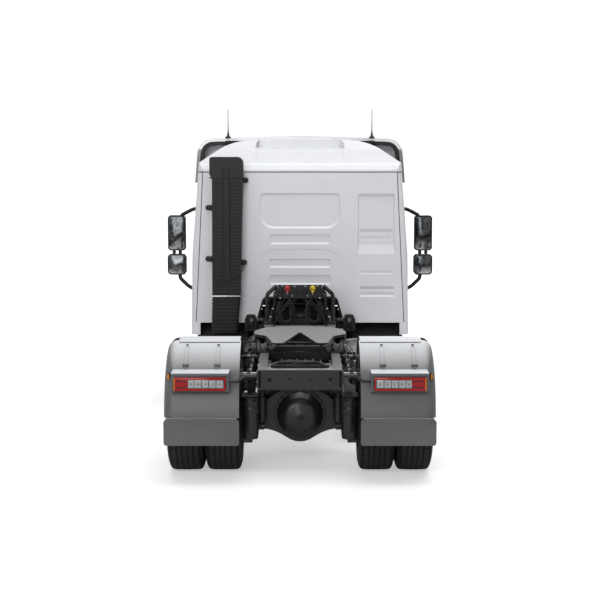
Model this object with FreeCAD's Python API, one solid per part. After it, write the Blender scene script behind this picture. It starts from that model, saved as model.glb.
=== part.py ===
import FreeCAD, Part
import math
import os

# Two-axle tractor unit, cab over engine, for pulling semi-trailers.
# Millimetres. +X is the vehicle's right, +Y forward, +Z up, with the origin on the ground at mid length.

V = FreeCAD.Vector
X_AXIS = V(1, 0, 0)
Y_AXIS = V(0, 1, 0)
Z_AXIS = V(0, 0, 1)

# Driving dimensions
half_length = 2860.0
front_axle_y = 1490.0
wheelbase = 3600.0
rear_axle_y = front_axle_y - wheelbase
axle_z = 540.0              # height of the wheel centres, which is the tyre radius

tyre_radius = axle_z
tyre_width = 340.0
bead_radius = 286.0
rim_width = 244.0
front_wheel_x = 1020.0
twin_inner_x = 712.0
twin_spacing = 351.0
kingpin_x = 880.0           # steering axis
steer_arm = 170.0           # the steering arms reach this far behind the steering axis
tie_rod_z = 450.0

rail_x = 380.0              # outer face of a frame rail
rail_top = 1075.0
rail_height = 266.0
rail_flange = 82.0
rail_thick = 9.0

cab_rear_y = 750.0
cab_wall = 55.0             # a cab wall or a door, skin to lining
cab_low_z = 865.0           # lower edge of the side skirts
cab_wall_low_z = 1004.0      # lower edge of the rear wall
cab_lip_z = 950.0           # lower edge of the front wall
floor_top = 1275.0
floor_low = 1225.0
seam_z = 2725.0             # seam between the roof panel and the walls
arch_radius = 682.0         # wheel arch in the cab's sides
tilt_y, tilt_z = 2740.0, 935.0
door_hinge_x, door_hinge_y = 1252.0, 2362.0

guard_radius = 690.0        # outside of the rear mudguards
guard_z = axle_z + 25.0     # height of their centre, at rest
guard_inner_x, guard_outer_x = 551.0, 1236.0

kingpin_y = -1590.0         # centre of the fifth wheel's lock
plate_top = 1225.0
plate_pivot_z = 1159.0

coil_radius = 32.0          # outside of a curly air line's turns
hose_radius = 6.0
coil_y = 52.0


# ---------------------------------------------------------------- helpers

def box(x0, x1, y0, y1, z0, z1):
    return Part.makeBox(x1 - x0, y1 - y0, z1 - z0, V(x0, y0, z0))


def rod(start, end, radius):
    return Part.makeCylinder(radius, (end - start).Length, start, end - start)


def rounded_wire(points, radii, closed=True):
    """A wire of straight runs whose corners are arcs of the given radii."""
    count = len(points)
    if not isinstance(radii, (list, tuple)):
        radii = [radii] * count
    edges = []
    starts, ends, arcs = [], [], []
    for i, corner in enumerate(points):
        at_end = not closed and i in (0, count - 1)
        if at_end or radii[i] <= 0:
            starts.append(corner)
            ends.append(corner)
            arcs.append(None)
            continue
        back = (points[i - 1] - corner).normalize()
        ahead = (points[(i + 1) % count] - corner).normalize()
        half = back.getAngle(ahead) / 2
        reach = radii[i] / math.tan(half)
        middle = (back + ahead).normalize()
        depth = radii[i] / math.sin(half) - radii[i]
        starts.append(corner + back * reach)
        ends.append(corner + ahead * reach)
        arcs.append(corner + middle * depth)
    for i in range(count):
        if arcs[i] is not None:
            edges.append(Part.Arc(starts[i], arcs[i], ends[i]).toShape())
        following = (i + 1) % count
        if following == 0 and not closed:
            continue
        if (starts[following] - ends[i]).Length > 1e-6:
            edges.append(Part.LineSegment(ends[i], starts[following]).toShape())
    return Part.Wire(edges)


def prism_x(outline, radii, x0, x1):
    """An outline of (y, z) corners, extruded from x0 to x1."""
    wire = rounded_wire([V(x0, y, z) for y, z in outline], radii)
    return Part.Face(wire).extrude(V(x1 - x0, 0, 0))


def prism_y(outline, radii, y0, y1):
    """An outline of (x, z) corners, extruded from y0 to y1."""
    wire = rounded_wire([V(x, y0, z) for x, z in outline], radii)
    return Part.Face(wire).extrude(V(0, y1 - y0, 0))


def prism_z(outline, radii, z0, z1):
    """An outline of (x, y) corners, extruded from z0 to z1."""
    wire = rounded_wire([V(x, y, z0) for x, y in outline], radii)
    return Part.Face(wire).extrude(V(0, 0, z1 - z0))


def bar(x0, x1, y0, y1, z0, z1, radius):
    """A block with its upright edges rounded."""
    return prism_z([(x0, y0), (x1, y0), (x1, y1), (x0, y1)], radius, z0, z1)


def panel_y(x0, x1, z0, z1, radius, y0, y1):
    """A block with the edges along Y rounded."""
    return prism_y([(x0, z0), (x1, z0), (x1, z1), (x0, z1)], radius, y0, y1)


def pressing(x0, x1, z0, z1, low_r, top_r, depth, side, low, top):
    """The solid to cut from the rear wall for a recess; its walls lean in by side, low and top."""
    over = 2.0
    wires = []
    for y, share in ((cab_rear_y - over, -over / depth), (cab_rear_y + depth, 1.0)):
        corners = [(x0 + side * share, z0 + low * share), (x1 - side * share, z0 + low * share),
                   (x1 - side * share, z1 - top * share), (x0 + side * share, z1 - top * share)]
        wires.append(rounded_wire([V(x, y, z) for x, z in corners], [low_r, low_r, top_r, top_r]))
    return Part.makeLoft(wires, True, True)


def bent_tube(points, bend, radius):
    """A round bar along straight runs joined by arcs."""
    path = rounded_wire(points, bend, closed=False)
    ring = Part.Wire(Part.makeCircle(radius, points[0], points[1] - points[0]))
    return path.makePipeShell([ring], True, False)


def cord_arcs(points):
    """The largest arcs that a cord's runs leave room for."""
    radii = [0]
    for before, here, after in zip(points, points[1:], points[2:]):
        run = min((here - before).Length, (after - here).Length)
        turn = (here - before).getAngle(after - here)
        radii.append(0.45 * run / math.tan(turn / 2))
    return radii + [0]


def turned(profile, centre):
    """A profile of (x, radius) corners, turned about an axis along X through centre."""
    wire = Part.makePolygon([V(x, 0, r) for x, r in profile + profile[:1]])
    solid = Part.Face(wire).revolve(V(0, 0, 0), X_AXIS, 360)
    solid.translate(centre)
    return solid


def fused(shapes):
    whole = shapes[0].fuse(shapes[1:]) if len(shapes) > 1 else shapes[0]
    return whole.removeSplitter()


def mirrored(shape):
    return shape.mirror(V(0, 0, 0), X_AXIS)


def with_mirror(shape):
    return [shape, mirrored(shape)]


def save(name, shape):
    """Write one sub-part, as a single solid or as solids that don't touch."""
    if isinstance(shape, list):
        shape = Part.makeCompound([solid for part in shape for solid in part.Solids])
    assert shape.isValid(), name
    shape.exportStep("parts/" + name + ".step")


# ---------------------------------------------------------------- frame and running gear

def chassis_frame():
    flange_x = rail_x - rail_flange
    rail_low = rail_top - rail_height
    front = 2440.0
    # Side view of a rail: its lower edge rises behind the rear axle and ahead of the front axle.
    side = [(-half_length, rail_top), (-half_length, rail_top - 178), (-2560, rail_low),
            (2050, rail_low), (front, rail_low + 60), (front, rail_top)]
    outer = prism_x(side, 0, flange_x, rail_x)
    hollow = [(-half_length - 1, rail_top - rail_thick), (-half_length - 1, rail_top - 178 + rail_thick),
              (-2560, rail_low + rail_thick), (2050, rail_low + rail_thick),
              (front + 1, rail_low + 60 + rail_thick), (front + 1, rail_top - rail_thick)]
    rail = outer.cut(prism_x(hollow, 0, flange_x - 1, rail_x - rail_thick))
    parts = with_mirror(rail)
    # Closing cross member, a channel with four holes in its web and a rounded top gusset.
    end_low = rail_top - 178
    web_x = rail_x - 28
    web = box(-web_x, web_x, -half_length, -half_length + rail_thick, end_low, rail_top)
    for x in (-270, -90, 90, 270):
        web = web.cut(rod(V(x, -half_length - 1, 988), V(x, -half_length + 20, 988), 20))
    gusset = box(-rail_x, rail_x, -half_length, -2640, rail_top - rail_thick, rail_top)
    gusset = gusset.cut(bar(-282, 282, -2834, -2500, rail_top - 20, rail_top + 1, 90))
    lower = box(-rail_x, rail_x, -half_length, -2790, end_low, end_low + rail_thick)
    parts += [web, gusset, lower]
    # Cross members: y, depth, top, bottom, radius of the holes in their webs
    table = [(-2360, 110, 1045, 866, 0), (-1180, 90, 1035, 895, 0), (-420, 90, 1035, 855, 48),
             (260, 90, 1035, 897, 38), (2395, 60, 975, 895, 22)]
    for y, depth, top, bottom, hole in table:
        inner_x = rail_x - rail_thick / 2
        member = box(-inner_x, inner_x, y - depth / 2, y + depth / 2, bottom, top)
        member = member.cut(box(-rail_x, rail_x, y - depth / 2 + rail_thick, y + depth, bottom + rail_thick,
                                top - rail_thick))
        for x in (-160, 0, 160) if hole else ():
            member = member.cut(rod(V(x, y - depth, (top + bottom) / 2), V(x, y, (top + bottom) / 2), hole))
        parts.append(member)
    # Brackets that carry the cab's tilting pivots
    for sign in (-1, 1):
        arm = prism_x([(2300, 1070), (2300, 905), (2778, 895), (2778, 973), (2700, 985)],
                      [10, 20, 36, 36, 40],
                      sign * 345 - 14, sign * 345 + 14)
        arm = arm.cut(rod(V(sign * 345 - 30, tilt_y, tilt_z), V(sign * 345 + 30, tilt_y, tilt_z), 20.5))
        parts.append(arm)
    return fused(parts)


def front_axle():
    beam_y = front_axle_y
    # Front view of the forged beam: low between the springs, rising to the bosses at its ends.
    outline = [(-kingpin_x, 602), (-kingpin_x, 490), (-760, 490), (-600, 392), (600, 392), (760, 490),
               (kingpin_x, 490), (kingpin_x, 602), (700, 602), (560, 502), (-560, 502), (-700, 602)]
    radii = [0, 0, 60, 60, 60, 60, 0, 0, 60, 60, 60, 60]
    beam = prism_y(outline, radii, beam_y - 52, beam_y + 52)
    web = [(-540, 474), (540, 474), (580, 450), (560, 418), (-560, 418), (-580, 450)]
    for y0, y1 in ((beam_y - 60, beam_y - 18), (beam_y + 18, beam_y + 60)):
        beam = beam.cut(prism_y(web, 0, y0, y1))
    parts = [beam]
    for sign in (-1, 1):
        parts.append(Part.makeCylinder(58, 112, V(sign * kingpin_x, beam_y, 490)))
        parts.append(box(sign * 425 - 50, sign * 425 + 50, beam_y - 100, beam_y + 100, 502, 520))
    whole = fused(parts)
    for sign in (-1, 1):
        whole = whole.cut(Part.makeCylinder(24.6, 140, V(sign * kingpin_x, beam_y, 480)))
    return whole


def front_springs():
    springs = []
    x = 425.0
    # Leaves: number from the top, half length, and the drop of their middle below the eyes
    for sign in (-1, 1):
        leaves = []
        for i, half in enumerate((760, 640, 470)):
            top = 520 + 20 * (3 - i)
            arch = Part.Arc(V(0, -half, top + half * half / 6400), V(0, 0, top),
                            V(0, half, top + half * half / 6400)).toShape()
            low = Part.Arc(V(0, half, top - 20 + half * half / 6400), V(0, 0, top - 20),
                           V(0, -half, top - 20 + half * half / 6400)).toShape()
            ends = [Part.LineSegment(V(0, half, top + half * half / 6400),
                                     V(0, half, top - 20 + half * half / 6400)).toShape(),
                    Part.LineSegment(V(0, -half, top - 20 + half * half / 6400),
                                     V(0, -half, top + half * half / 6400)).toShape()]
            leaf = Part.Face(Part.Wire([arch, ends[0], low, ends[1]])).extrude(V(80, 0, 0))
            leaves.append(leaf)
        eye_z = 520 + 60 + 760 * 760 / 6400 + 12
        for y in (-760, 760):
            leaves.append(rod(V(0, y, eye_z - 4), V(80, y, eye_z - 4), 32))
        leaves.append(box(-6, 86, -95, 95, 580, 604))
        pack = fused(leaves)
        pack.translate(V(sign * x - 40, front_axle_y, 0))
        springs.append(pack)
        # Hangers from the rail to the eyes
        for y in (-760, 760):
            eye_y = front_axle_y + y
            hanger = box(rail_x + 0.5, rail_x + 92, eye_y - 75, eye_y + 75, 719, 995)
            hanger = hanger.cut(box(384, rail_x + 88, eye_y - 80, eye_y + 80, 635, 815))
            hanger = hanger.cut(rod(V(300, eye_y, eye_z - 4), V(600, eye_y, eye_z - 4), 34))
            springs.append(hanger if sign > 0 else mirrored(hanger))
    return springs


def rear_axle():
    # Front view of the banjo housing: boxed tubes that swell in waves into a round bowl.
    top = [(-640, 620), (-430, 626), (-330, 660), (-210, 755), (210, 755), (330, 660), (430, 626),
           (640, 620)]
    low = [(640, 460), (500, 404), (270, 404), (0, 240), (-270, 404), (-500, 404), (-640, 460)]
    radii = [0, 200, 110, 180, 180, 110, 200, 0, 0, 120, 450, 206, 450, 120, 0]
    body = prism_y(top + low, radii, rear_axle_y - 80, rear_axle_y + 80)
    # Domed cover at the back and carrier with input flange at the front, turned about the fore-and-aft line
    cover = Part.Face(rounded_wire([V(0, -80, 0), V(218, -80, 0), V(218, -112, 0), V(150, -196, 0),
                                    V(0, -226, 0)], [0, 0, 40, 110, 0])).revolve(V(0, 0, 0), Y_AXIS, 360)
    nose = Part.Face(Part.makePolygon([V(0, 80, 0), V(210, 80, 0), V(200, 150, 0), V(110, 300, 0),
                                       V(90, 400, 0), V(90, 420, 0), V(0, 420, 0), V(0, 80, 0)]))
    nose = nose.revolve(V(0, 0, 0), Y_AXIS, 360)
    for turned_part in (cover, nose):
        turned_part.translate(V(0, rear_axle_y, axle_z))
    flange = Part.makeCylinder(238, 22, V(0, rear_axle_y - 96, axle_z), Y_AXIS)
    parts = [body, cover, nose, flange]
    for sign in (-1, 1):
        parts.append(rod(V(sign * 620, rear_axle_y, axle_z), V(sign * 940, rear_axle_y, axle_z), 62))
        # Spring brake chamber on a bracket ahead of the housing
        x = sign * 300
        parts.append(box(x - 62, x + 62, rear_axle_y + 70, rear_axle_y + 94, 560, 770))
        parts.append(rod(V(x, rear_axle_y + 90, 705), V(x, rear_axle_y + 190, 705), 84))
        parts.append(rod(V(x, rear_axle_y + 190, 705), V(x, rear_axle_y + 206, 705), 91))
        parts.append(rod(V(x, rear_axle_y + 206, 705), V(x, rear_axle_y + 320, 705), 80))
    return fused(parts)


def rear_suspension():
    solids = []
    # One side: trailing arm under the axle, two air springs, shock absorber and its brackets.
    side = []
    arm = prism_x([(-2560, 385), (-2560, 345), (-2300, 325), (-1950, 325), (-1620, 595), (-1230, 675),
                   (-1230, 725), (-1640, 645), (-1980, 395)], 18, 440, 520)
    seat = box(452, 508, rear_axle_y - 70, rear_axle_y + 70, 388, 403)
    side.append(fused([arm, seat]))
    hanger = prism_x([(-1290, 655), (-1170, 655), (-1110, 1035), (-1350, 1035)], 12, 381, 433)
    side.append(hanger)
    bellows = [(0, 387), (66, 387), (74, 455), (74, 620), (82, 640), (82, 670), (73, 690), (82, 710),
               (82, 740),
               (73, 756), (82, 772), (68, 790), (0, 790)]
    wire = Part.makePolygon([V(r, 0, z) for r, z in bellows + bellows[:1]])
    bag = Part.Face(wire).revolve(V(0, 0, 0), Z_AXIS, 360)
    bag.translate(V(452, -2545, 0))
    plate = box(390, 530, -2630, -2460, 790, 800)
    gusset = prism_x([(-2600, 800), (-2490, 800), (-2500, 940), (-2590, 940)], 0, 381, 391)
    side.append(fused([bag, plate, box(381, 400, -2600, -2490, 790, 800), gusset]))
    x = 362
    body = rod(V(x, -2290, 500), V(x, -2290, 722), 48)
    stem = rod(V(x, -2290, 700), V(x, -2290, 782), 30)
    eyes = [rod(V(x - 30, -2290, 446), V(x + 30, -2290, 446), 34),
            rod(V(x - 26, -2290, 778), V(x + 26, -2290, 778), 26)]
    eyes.append(box(x - 14, x + 14, -2304, -2276, 446, 510))
    # Fork under the shock absorber, bolted to the trailing arm
    fork = fused([box(x + 33, x + 43, -2330, -2250, 400, 480), box(x + 33, 440, -2330, -2250, 400, 412),
                  box(430, 440, -2330, -2250, 380, 412)])
    side.append(fused([body, stem, fork, rod(V(x + 20, -2290, 446), V(x + 40, -2290, 446), 20)] + eyes))
    for shape in side:
        solids += with_mirror(shape)
    return solids


def drive_shaft():
    start = V(0, 436, 835)
    end = V(0, rear_axle_y + 436, axle_z)
    along = (end - start).normalize()
    parts = [rod(start + along * 60, end - along * 60, 55)]
    for point, sign in ((start, 1), (end, -1)):
        parts.append(rod(point, point + along * sign * 24, 82))
        parts.append(rod(point + along * sign * 20, point + along * sign * 110, 46))
        parts.append(rod(point + along * sign * 70 + V(-66, 0, 0), point + along * sign * 70 + V(66, 0, 0),
                         26))
    return fused(parts)


def engine():
    # One plain block for the engine, with the sump below and the gearbox behind
    block = bar(-285, 285, 1260, 2330, 675, 1455, 30)
    head = bar(-215, 215, 1280, 2310, 1455, 1520, 25)
    sump = prism_x([(1300, 680), (1300, 635), (1400, 595), (2250, 595), (2290, 680)], 15, -190, 190)
    bell = prism_y([(-250, 635), (250, 635), (280, 935), (262, 1150), (-262, 1150), (-280, 935)], 60, 1080,
                   1262)
    gearbox = prism_y([(-180, 655), (180, 655), (210, 795), (180, 1015), (-180, 1015), (-210, 795)], 50, 455,
                      1085)
    return fused([block, head, sump, bell, gearbox])


def radiator():
    core = panel_y(-322, 322, 975, 1515, 25, 2470, 2560)
    shroud = panel_y(-292, 292, 1085, 1485, 60, 2400, 2472)
    ring = rod(V(0, 2399, 1285), V(0, 2480, 1285), 180)
    return fused([core, shroud]).cut(ring.cut(rod(V(0, 2399, 1285), V(0, 2480, 1285), 60)))


def fuel_tank():
    shell = panel_y(470, 1130, 330, 858, 110, -1060, 480)
    neck = rod(V(950, -980, 850), V(950, -980, 886), 48)
    straps = []
    for y in (-860, -290, 300):
        strap = panel_y(466, 1134, 326, 862, 113, y - 30, y + 30)
        straps.append(strap)
        straps.append(box(381, 480, y - 30, y + 30, 400, 995))
    return fused([shell, neck] + straps)


def battery_box():
    case = panel_y(-1120, -520, 400, 790, 40, -260, 560)
    lid = panel_y(-1128, -512, 776, 826, 24, -268, 568)
    shelf = box(-560, -381, -240, 540, 570, 830)
    parts = [case, lid, shelf]
    # Two air tanks lie above the battery box along the rail
    for z in (735, 915):
        tank = rod(V(-482, -1080, z + 20), V(-482, -320, z + 20), 82)
        parts.append(tank)
        parts.append(box(-482, -381, -1000, -960, z, z + 40))
        parts.append(box(-482, -381, -420, -380, z, z + 40))
    parts.append(box(-500, -440, -998, -962, 735, 935))
    solids = [fused(parts[:3]), fused(parts[3:])]
    return solids


def exhaust_silencer():
    case = panel_y(-1120, -620, 465, 935, 90, -1330, -320)
    pipe = bent_tube([V(-800, -700, 475), V(-800, -700, 385), V(-1080, -700, 365)], [0, 60, 0], 50)
    arms = [box(-640, -600, y - 40, y + 40, 505, 595) for y in (-880, -520)]
    hangers = [box(-625, -381, y - 25, y + 25, 555, 595) for y in (-880, -520)]
    hangers += [box(-392, -381, y - 25, y + 25, 555, 995) for y in (-880, -520)]
    return fused([case, pipe] + arms + hangers)


# ---------------------------------------------------------------- front end on the frame

def bumper_form(inset):
    outline = [(-1242 + inset, 2395), (1242 - inset, 2395), (1242 - inset, 2640), (900, half_length - inset),
               (-900, half_length - inset), (-1242 + inset, 2640)]
    return prism_z(outline, [0, 0, 170, 500, 500, 170], 345, 883)


def front_bumper():
    shell = bumper_form(0).cut(bumper_form(55).cut(box(-1300, 1300, 2380, 2900, 795, 935)))
    shell = shell.cut(box(-1100, 1100, 2380, 2780, 775, 885))
    shell = shell.cut(box(-1300, 1300, 2380, 2396, 300, 935))
    # Air intake with slats, and the pockets of the headlamps
    for z in (455, 515, 575):
        shell = shell.cut(panel_y(-560, 560, z, z + 38, 15, 2600, 2900))
    for sign in (-1, 1):
        shell = shell.cut(panel_y(min(sign * 700, sign * 1150), max(sign * 700, sign * 1150), 635, 805, 40,
                                  2500, 2900))
    shell = shell.cut(rod(V(-330, 2700, 725), V(-330, 2900, 725), 22))
    # Stays back to the rails
    parts = [shell]
    for sign in (-1, 1):
        parts.append(box(sign * 330 - 30, sign * 330 + 30, 2401, half_length - 50, 675, 775))
        parts.append(box(sign * 360 - 18, sign * 360 + 18, 2380, 2460, 675, 857))
    return fused(parts)


def headlamps():
    form = bumper_form(8).cut(bumper_form(54.5))
    lens = form.common(panel_y(701, 1149, 636, 804, 39, 2500, 2900))
    return with_mirror(lens)


def front_mudguards():
    # A thin arch over each front wheel, from the step ahead of it to below the chassis behind it.
    solids = []
    ring = rod(V(600, front_axle_y, axle_z), V(1184, front_axle_y, axle_z), 649)
    ring = ring.cut(rod(V(590, front_axle_y, axle_z), V(1200, front_axle_y, axle_z), 640))
    ring = ring.cut(box(590, 1200, 800, 2200, -200, 490))
    stays = [rod(V(rail_x + 1, y, 965), V(640, y, 965), 18) for y in (1000, 1980)]
    return with_mirror(fused([ring] + stays))


def cab_steps():
    body = bar(930, 1240, 2150, 2390, 345, 877, 25)
    for z0, z1 in ((415, 595), (655, 835)):
        body = body.cut(panel_y(980, 1300, z0, z1, 25, 2175, 2366))
    stay = box(rail_x + 1, 940, 2336, 2384, 835, 875)
    return with_mirror(fused([body, stay]))


# ---------------------------------------------------------------- rear end

def guard_section(inner, outer, radius, thick, skirt, corner):
    """The section of a mudguard: flat top, rounded outer corner and an outer skirt towards the axle."""
    outline = [V(inner, 0, radius), V(outer, 0, radius), V(outer, 0, radius - skirt),
               V(outer - thick, 0, radius - skirt), V(outer - thick, 0, radius - thick),
               V(inner, 0, radius - thick)]
    return rounded_wire(outline, [0, corner, 0, 0, corner - thick, 0])


def swept_guard(inner, outer, radius, thick, skirt, corner, start, end):
    """A mudguard section turned about the rear axle from start to end, degrees up from the rear."""
    face = Part.Face(guard_section(inner, outer, radius, thick, skirt, corner))
    face.rotate(V(0, 0, 0), X_AXIS, 90 - start)
    arc = face.revolve(V(0, 0, 0), X_AXIS, start - end)
    arc.translate(V(0, rear_axle_y, guard_z))
    return arc


def rear_mudguards():
    # Rear quarter, raised centre piece and front quarter, in angles up from straight behind the axle
    pieces = []
    for inner, outer, radius, skirt, corner, start, end in (
            (guard_inner_x, guard_outer_x, guard_radius, 110, 92, 5, 82),
            (guard_inner_x + 8, guard_outer_x - 82, guard_radius + 9, 60, 50, 76, 108),
            (guard_inner_x, guard_outer_x, guard_radius, 110, 92, 102, 172)):
        pieces.append(swept_guard(inner, outer, radius, 9, skirt, corner, start, end))
    # Moulded housing for the tail lamp on the rear quarter
    house = prism_x([(-2815, 1039), (-2815, 867), (-2700, 847), (-2570, 1039)], [12, 12, 0, 0], 641, 1160)
    house = house.cut(box(660, 1143, -2820, -2800, 873, 1009))
    house = house.cut(rod(V(500, rear_axle_y, guard_z), V(1300, rear_axle_y, guard_z), guard_radius - 5))
    guard = fused(pieces + [house])
    # The stays reach inwards to the rail
    stays = [rod(V(rail_x + 1, rear_axle_y + y, z), V(700, rear_axle_y + y, z), 21)
             for y, z in ((-500, 992), (500, 992))]
    guard = fused([guard] + stays)
    return with_mirror(guard)


def mud_flaps():
    flap = panel_y(guard_inner_x, guard_outer_x - 2, 373, 609, 25, -2806, -2794)
    flap = fused([flap, panel_y(guard_inner_x + 20, guard_outer_x - 20, 591, 625, 8, -2816, -2803)])
    return with_mirror(flap)


def tail_lamps():
    lamp = panel_y(662, 1141, 874, 1008, 14, -2827, -2801)
    return with_mirror(lamp)


def lamp_brackets():
    arm = bent_tube([V(rail_x + 8, -2790, 1010), V(500, -2790, 1010), V(560, -2790, 965),
                     V(640, -2790, 965)],
                    [0, 30, 30, 0], 17)
    plate = box(rail_x + 0.5, rail_x + 9, -2835, -2745, 955, 1055)
    return with_mirror(fused([arm, plate]))


def fifth_wheel_base():
    parts = []
    mount = prism_z([(-rail_x - 60, -1890), (rail_x + 60, -1890), (rail_x + 60, -1240),
                     (-rail_x - 60, -1240)],
                    20, rail_top, rail_top + 12)
    mount = mount.cut(bar(-250, 250, -1830, -1300, rail_top - 1, rail_top + 20, 60))
    parts.append(mount)
    for sign in (-1, 1):
        ear = prism_x([(kingpin_y - 150, rail_top + 5), (kingpin_y + 150, rail_top + 5),
                       (kingpin_y + 60, plate_pivot_z + 30), (kingpin_y - 60, plate_pivot_z + 30)],
                      [0, 0, 30, 30], sign * 405 - 13, sign * 405 + 13)
        parts.append(ear)
        parts.append(rod(V(sign * 330, kingpin_y, plate_pivot_z), V(sign * 432, kingpin_y, plate_pivot_z),
                         22))
    return fused(parts)


def fifth_wheel_plate():
    front = kingpin_y + 480
    tip = kingpin_y - 640
    half = [(160, tip), (262, tip), (276, -2085), (326, -1778), (449, -1640), (449, -1425), (362, -1222),
            (200, front)]
    outline = [(28, -1670), (42, -1700)] + half + [(-x, y) for x, y in reversed(half)] + [(-42, -1700),
                                                                                          (-28, -1670),
               (-28, kingpin_y - 60), (28, kingpin_y - 60)]
    radii = [0, 0, 24, 40, 90, 90, 60, 120, 200, 160, 160, 200, 120, 60, 90, 90, 40, 24, 0, 0, 0, 0]
    plate = prism_z(outline, radii, plate_top - 26, plate_top)
    # The horns thin out towards their tips, so that they clear the frame when the plate rocks back.
    plate = plate.cut(prism_x([(tip - 10, plate_top - 30), (tip + 140, plate_top - 30),
                               (tip + 140, plate_top - 26),
                               (tip, plate_top - 12), (tip - 10, plate_top - 12)], 0, -500, 500))
    # The lock closes round the front half of the kingpin.
    plate = plate.cut(Part.makeCylinder(25.4, 200, V(0, kingpin_y, plate_top - 120)))
    plate = plate.cut(box(-25.4, 25.4, kingpin_y - 80, kingpin_y, plate_top - 120, plate_top + 5))
    jaw = bar(-110, 110, kingpin_y - 30, kingpin_y + 120, plate_top - 66, plate_top - 25, 30)
    jaw = jaw.cut(Part.makeCylinder(25.4, 200, V(0, kingpin_y, plate_top - 120)))
    jaw = jaw.cut(box(-25.4, 25.4, kingpin_y - 80, kingpin_y, plate_top - 120, plate_top + 5))
    parts = [plate, jaw]
    # Skirt round the plate's sides, and ribs
    rim = prism_z(outline, radii, plate_top - 70, plate_top - 20)
    rim = rim.cut(prism_z([(-436, -3000), (436, -3000), (436, -1420), (352, -1232), (-352, -1232),
                           (-436, -1420)],
                          [0, 0, 110, 190, 190, 110], plate_top - 80, plate_top - 19))
    parts.append(rim.common(box(-460, 460, -1800, -1300, 0, 2000)))
    for sign in (-1, 1):
        lug = prism_x([(kingpin_y - 110, plate_top - 25), (kingpin_y + 110, plate_top - 25),
                       (kingpin_y + 34, plate_pivot_z - 34), (kingpin_y - 34, plate_pivot_z - 34)],
                      [0, 0, 30, 30], sign * 366 - 18, sign * 366 + 18)
        parts.append(lug)
        parts.append(box(sign * 250 - 8, sign * 250 + 8, kingpin_y - 300, kingpin_y + 250, plate_top - 60,
                         plate_top - 25))
    whole = fused(parts)
    return whole.cut(rod(V(-440, kingpin_y, plate_pivot_z), V(440, kingpin_y, plate_pivot_z), 22.6))


def coupling_rack():
    # Two bent legs on the frame carry a plate for the trailer's air and electric lines.
    y = 100.0
    legs = []
    for sign in (-1, 1):
        legs.append(bent_tube([V(sign * 360, y, rail_top + 8), V(sign * 360, y, 1408),
                               V(sign * 255, y, 1500)],
                              [0, 60, 0], 22))
        legs.append(box(sign * 340 - 40, sign * 340 + 40, y - 45, y + 45, rail_top, rail_top + 10))
    plate = prism_y([(-293, 1374), (293, 1374), (293, 1416), (245, 1511), (-245, 1511), (-293, 1416)],
                    [10, 10, 14, 14, 14, 14], y - 5, y + 5)
    parts = legs + [plate]
    for sign in (-1, 1):
        # Elbow that a curly line hangs from, and a supply line down to a clamp on the rail
        parts.append(rod(V(sign * 216, y - 4, 1392), V(sign * 216, coil_y - 8, 1392), 15))
        parts.append(rod(V(sign * 216, coil_y, 1392), V(sign * 216, coil_y, 1372), 12))
        parts.append(rod(V(sign * 272, y - 4, 1392), V(sign * 272, 64, 1392), 17))
        parts.append(bent_tube([V(sign * 272, 74, 1388), V(sign * 276, 74, 1310), V(sign * 316, 74, 1195),
                                V(sign * 318, 74, rail_top + 14)], [0, 90, 120, 0], 12))
        parts.append(box(sign * 318 - 22, sign * 318 + 22, 56, 92, rail_top + 4, rail_top + 24))
    return fused(parts)


def air_couplings():
    solids = []
    for x in (-138, 138):
        head = rod(V(x, 94.5, 1475), V(x, 40, 1475), 30)
        cap = rod(V(x, 44, 1475), V(x, 22, 1475), 22)
        port = rod(V(x, coil_y, 1460), V(x, coil_y, 1432), 11)
        solids.append(fused([head, cap, port]))
    return solids


def air_line(sign):
    # A curly air line hangs in a loop from its elbow and comes up to its coupling.
    table = [(216, 1371.4), (220, 1322), (225, 1245), (224, 1136), (182.3, 1094.3), (123.7, 1094.3),
             (82, 1136),
             (81, 1215), (92, 1288), (120, 1348), (138, 1386), (138, 1432)]
    route = [V(sign * x, coil_y, z) for x, z in table]
    radii = cord_arcs(route)
    print("arcs of the air line", sign, [round(radius) for radius in radii])
    lead = bent_tube(route, radii, hose_radius)
    coil = bent_tube([route[0] + (route[1] - route[0]) * 0.5] + route[1:9] + [route[9]],
                     [0] + radii[1:9] + [0],
                     coil_radius)
    return fused([lead, coil])


def cab_mounts():
    # A bracket on each rail carries a short tube out to the lock under the cab's rear edge
    solids = []
    for sign in (-1, 1):
        inner, outer = sorted((sign * 381, sign * 421))
        post = prism_y([(sign * 560 - 68, 924), (sign * 560 + 68, 924), (sign * 560 + 68, 1050),
                        (sign * 560 + 44, 1106), (sign * 560 - 44, 1106), (sign * 560 - 68, 1050)],
                       [20, 20, 30, 24, 24, 30], 655, 738)
        post = post.cut(rod(V(sign * 560, 640, 1048), V(sign * 560, 745, 1048), 26))
        post = post.cut(rod(V(sign * 560, 640, 966), V(sign * 560, 690, 966), 32))
        tube = rod(V(sign * 400, 697, 1036), V(sign * 500, 697, 1036), 30)
        solids.append(fused([box(inner, outer, 652, 738, 1002, 1072), tube, post]))
    return solids


# ---------------------------------------------------------------- cab

# Levels of the cab's body: height, half width, front face, front corner radius
cab_levels = [(cab_low_z, 1247, 2800, 250), (1775, 1230, 2792, 240), (2775, 1152, 2636, 190),
              (3135, 1128, 2580, 170)]


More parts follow.
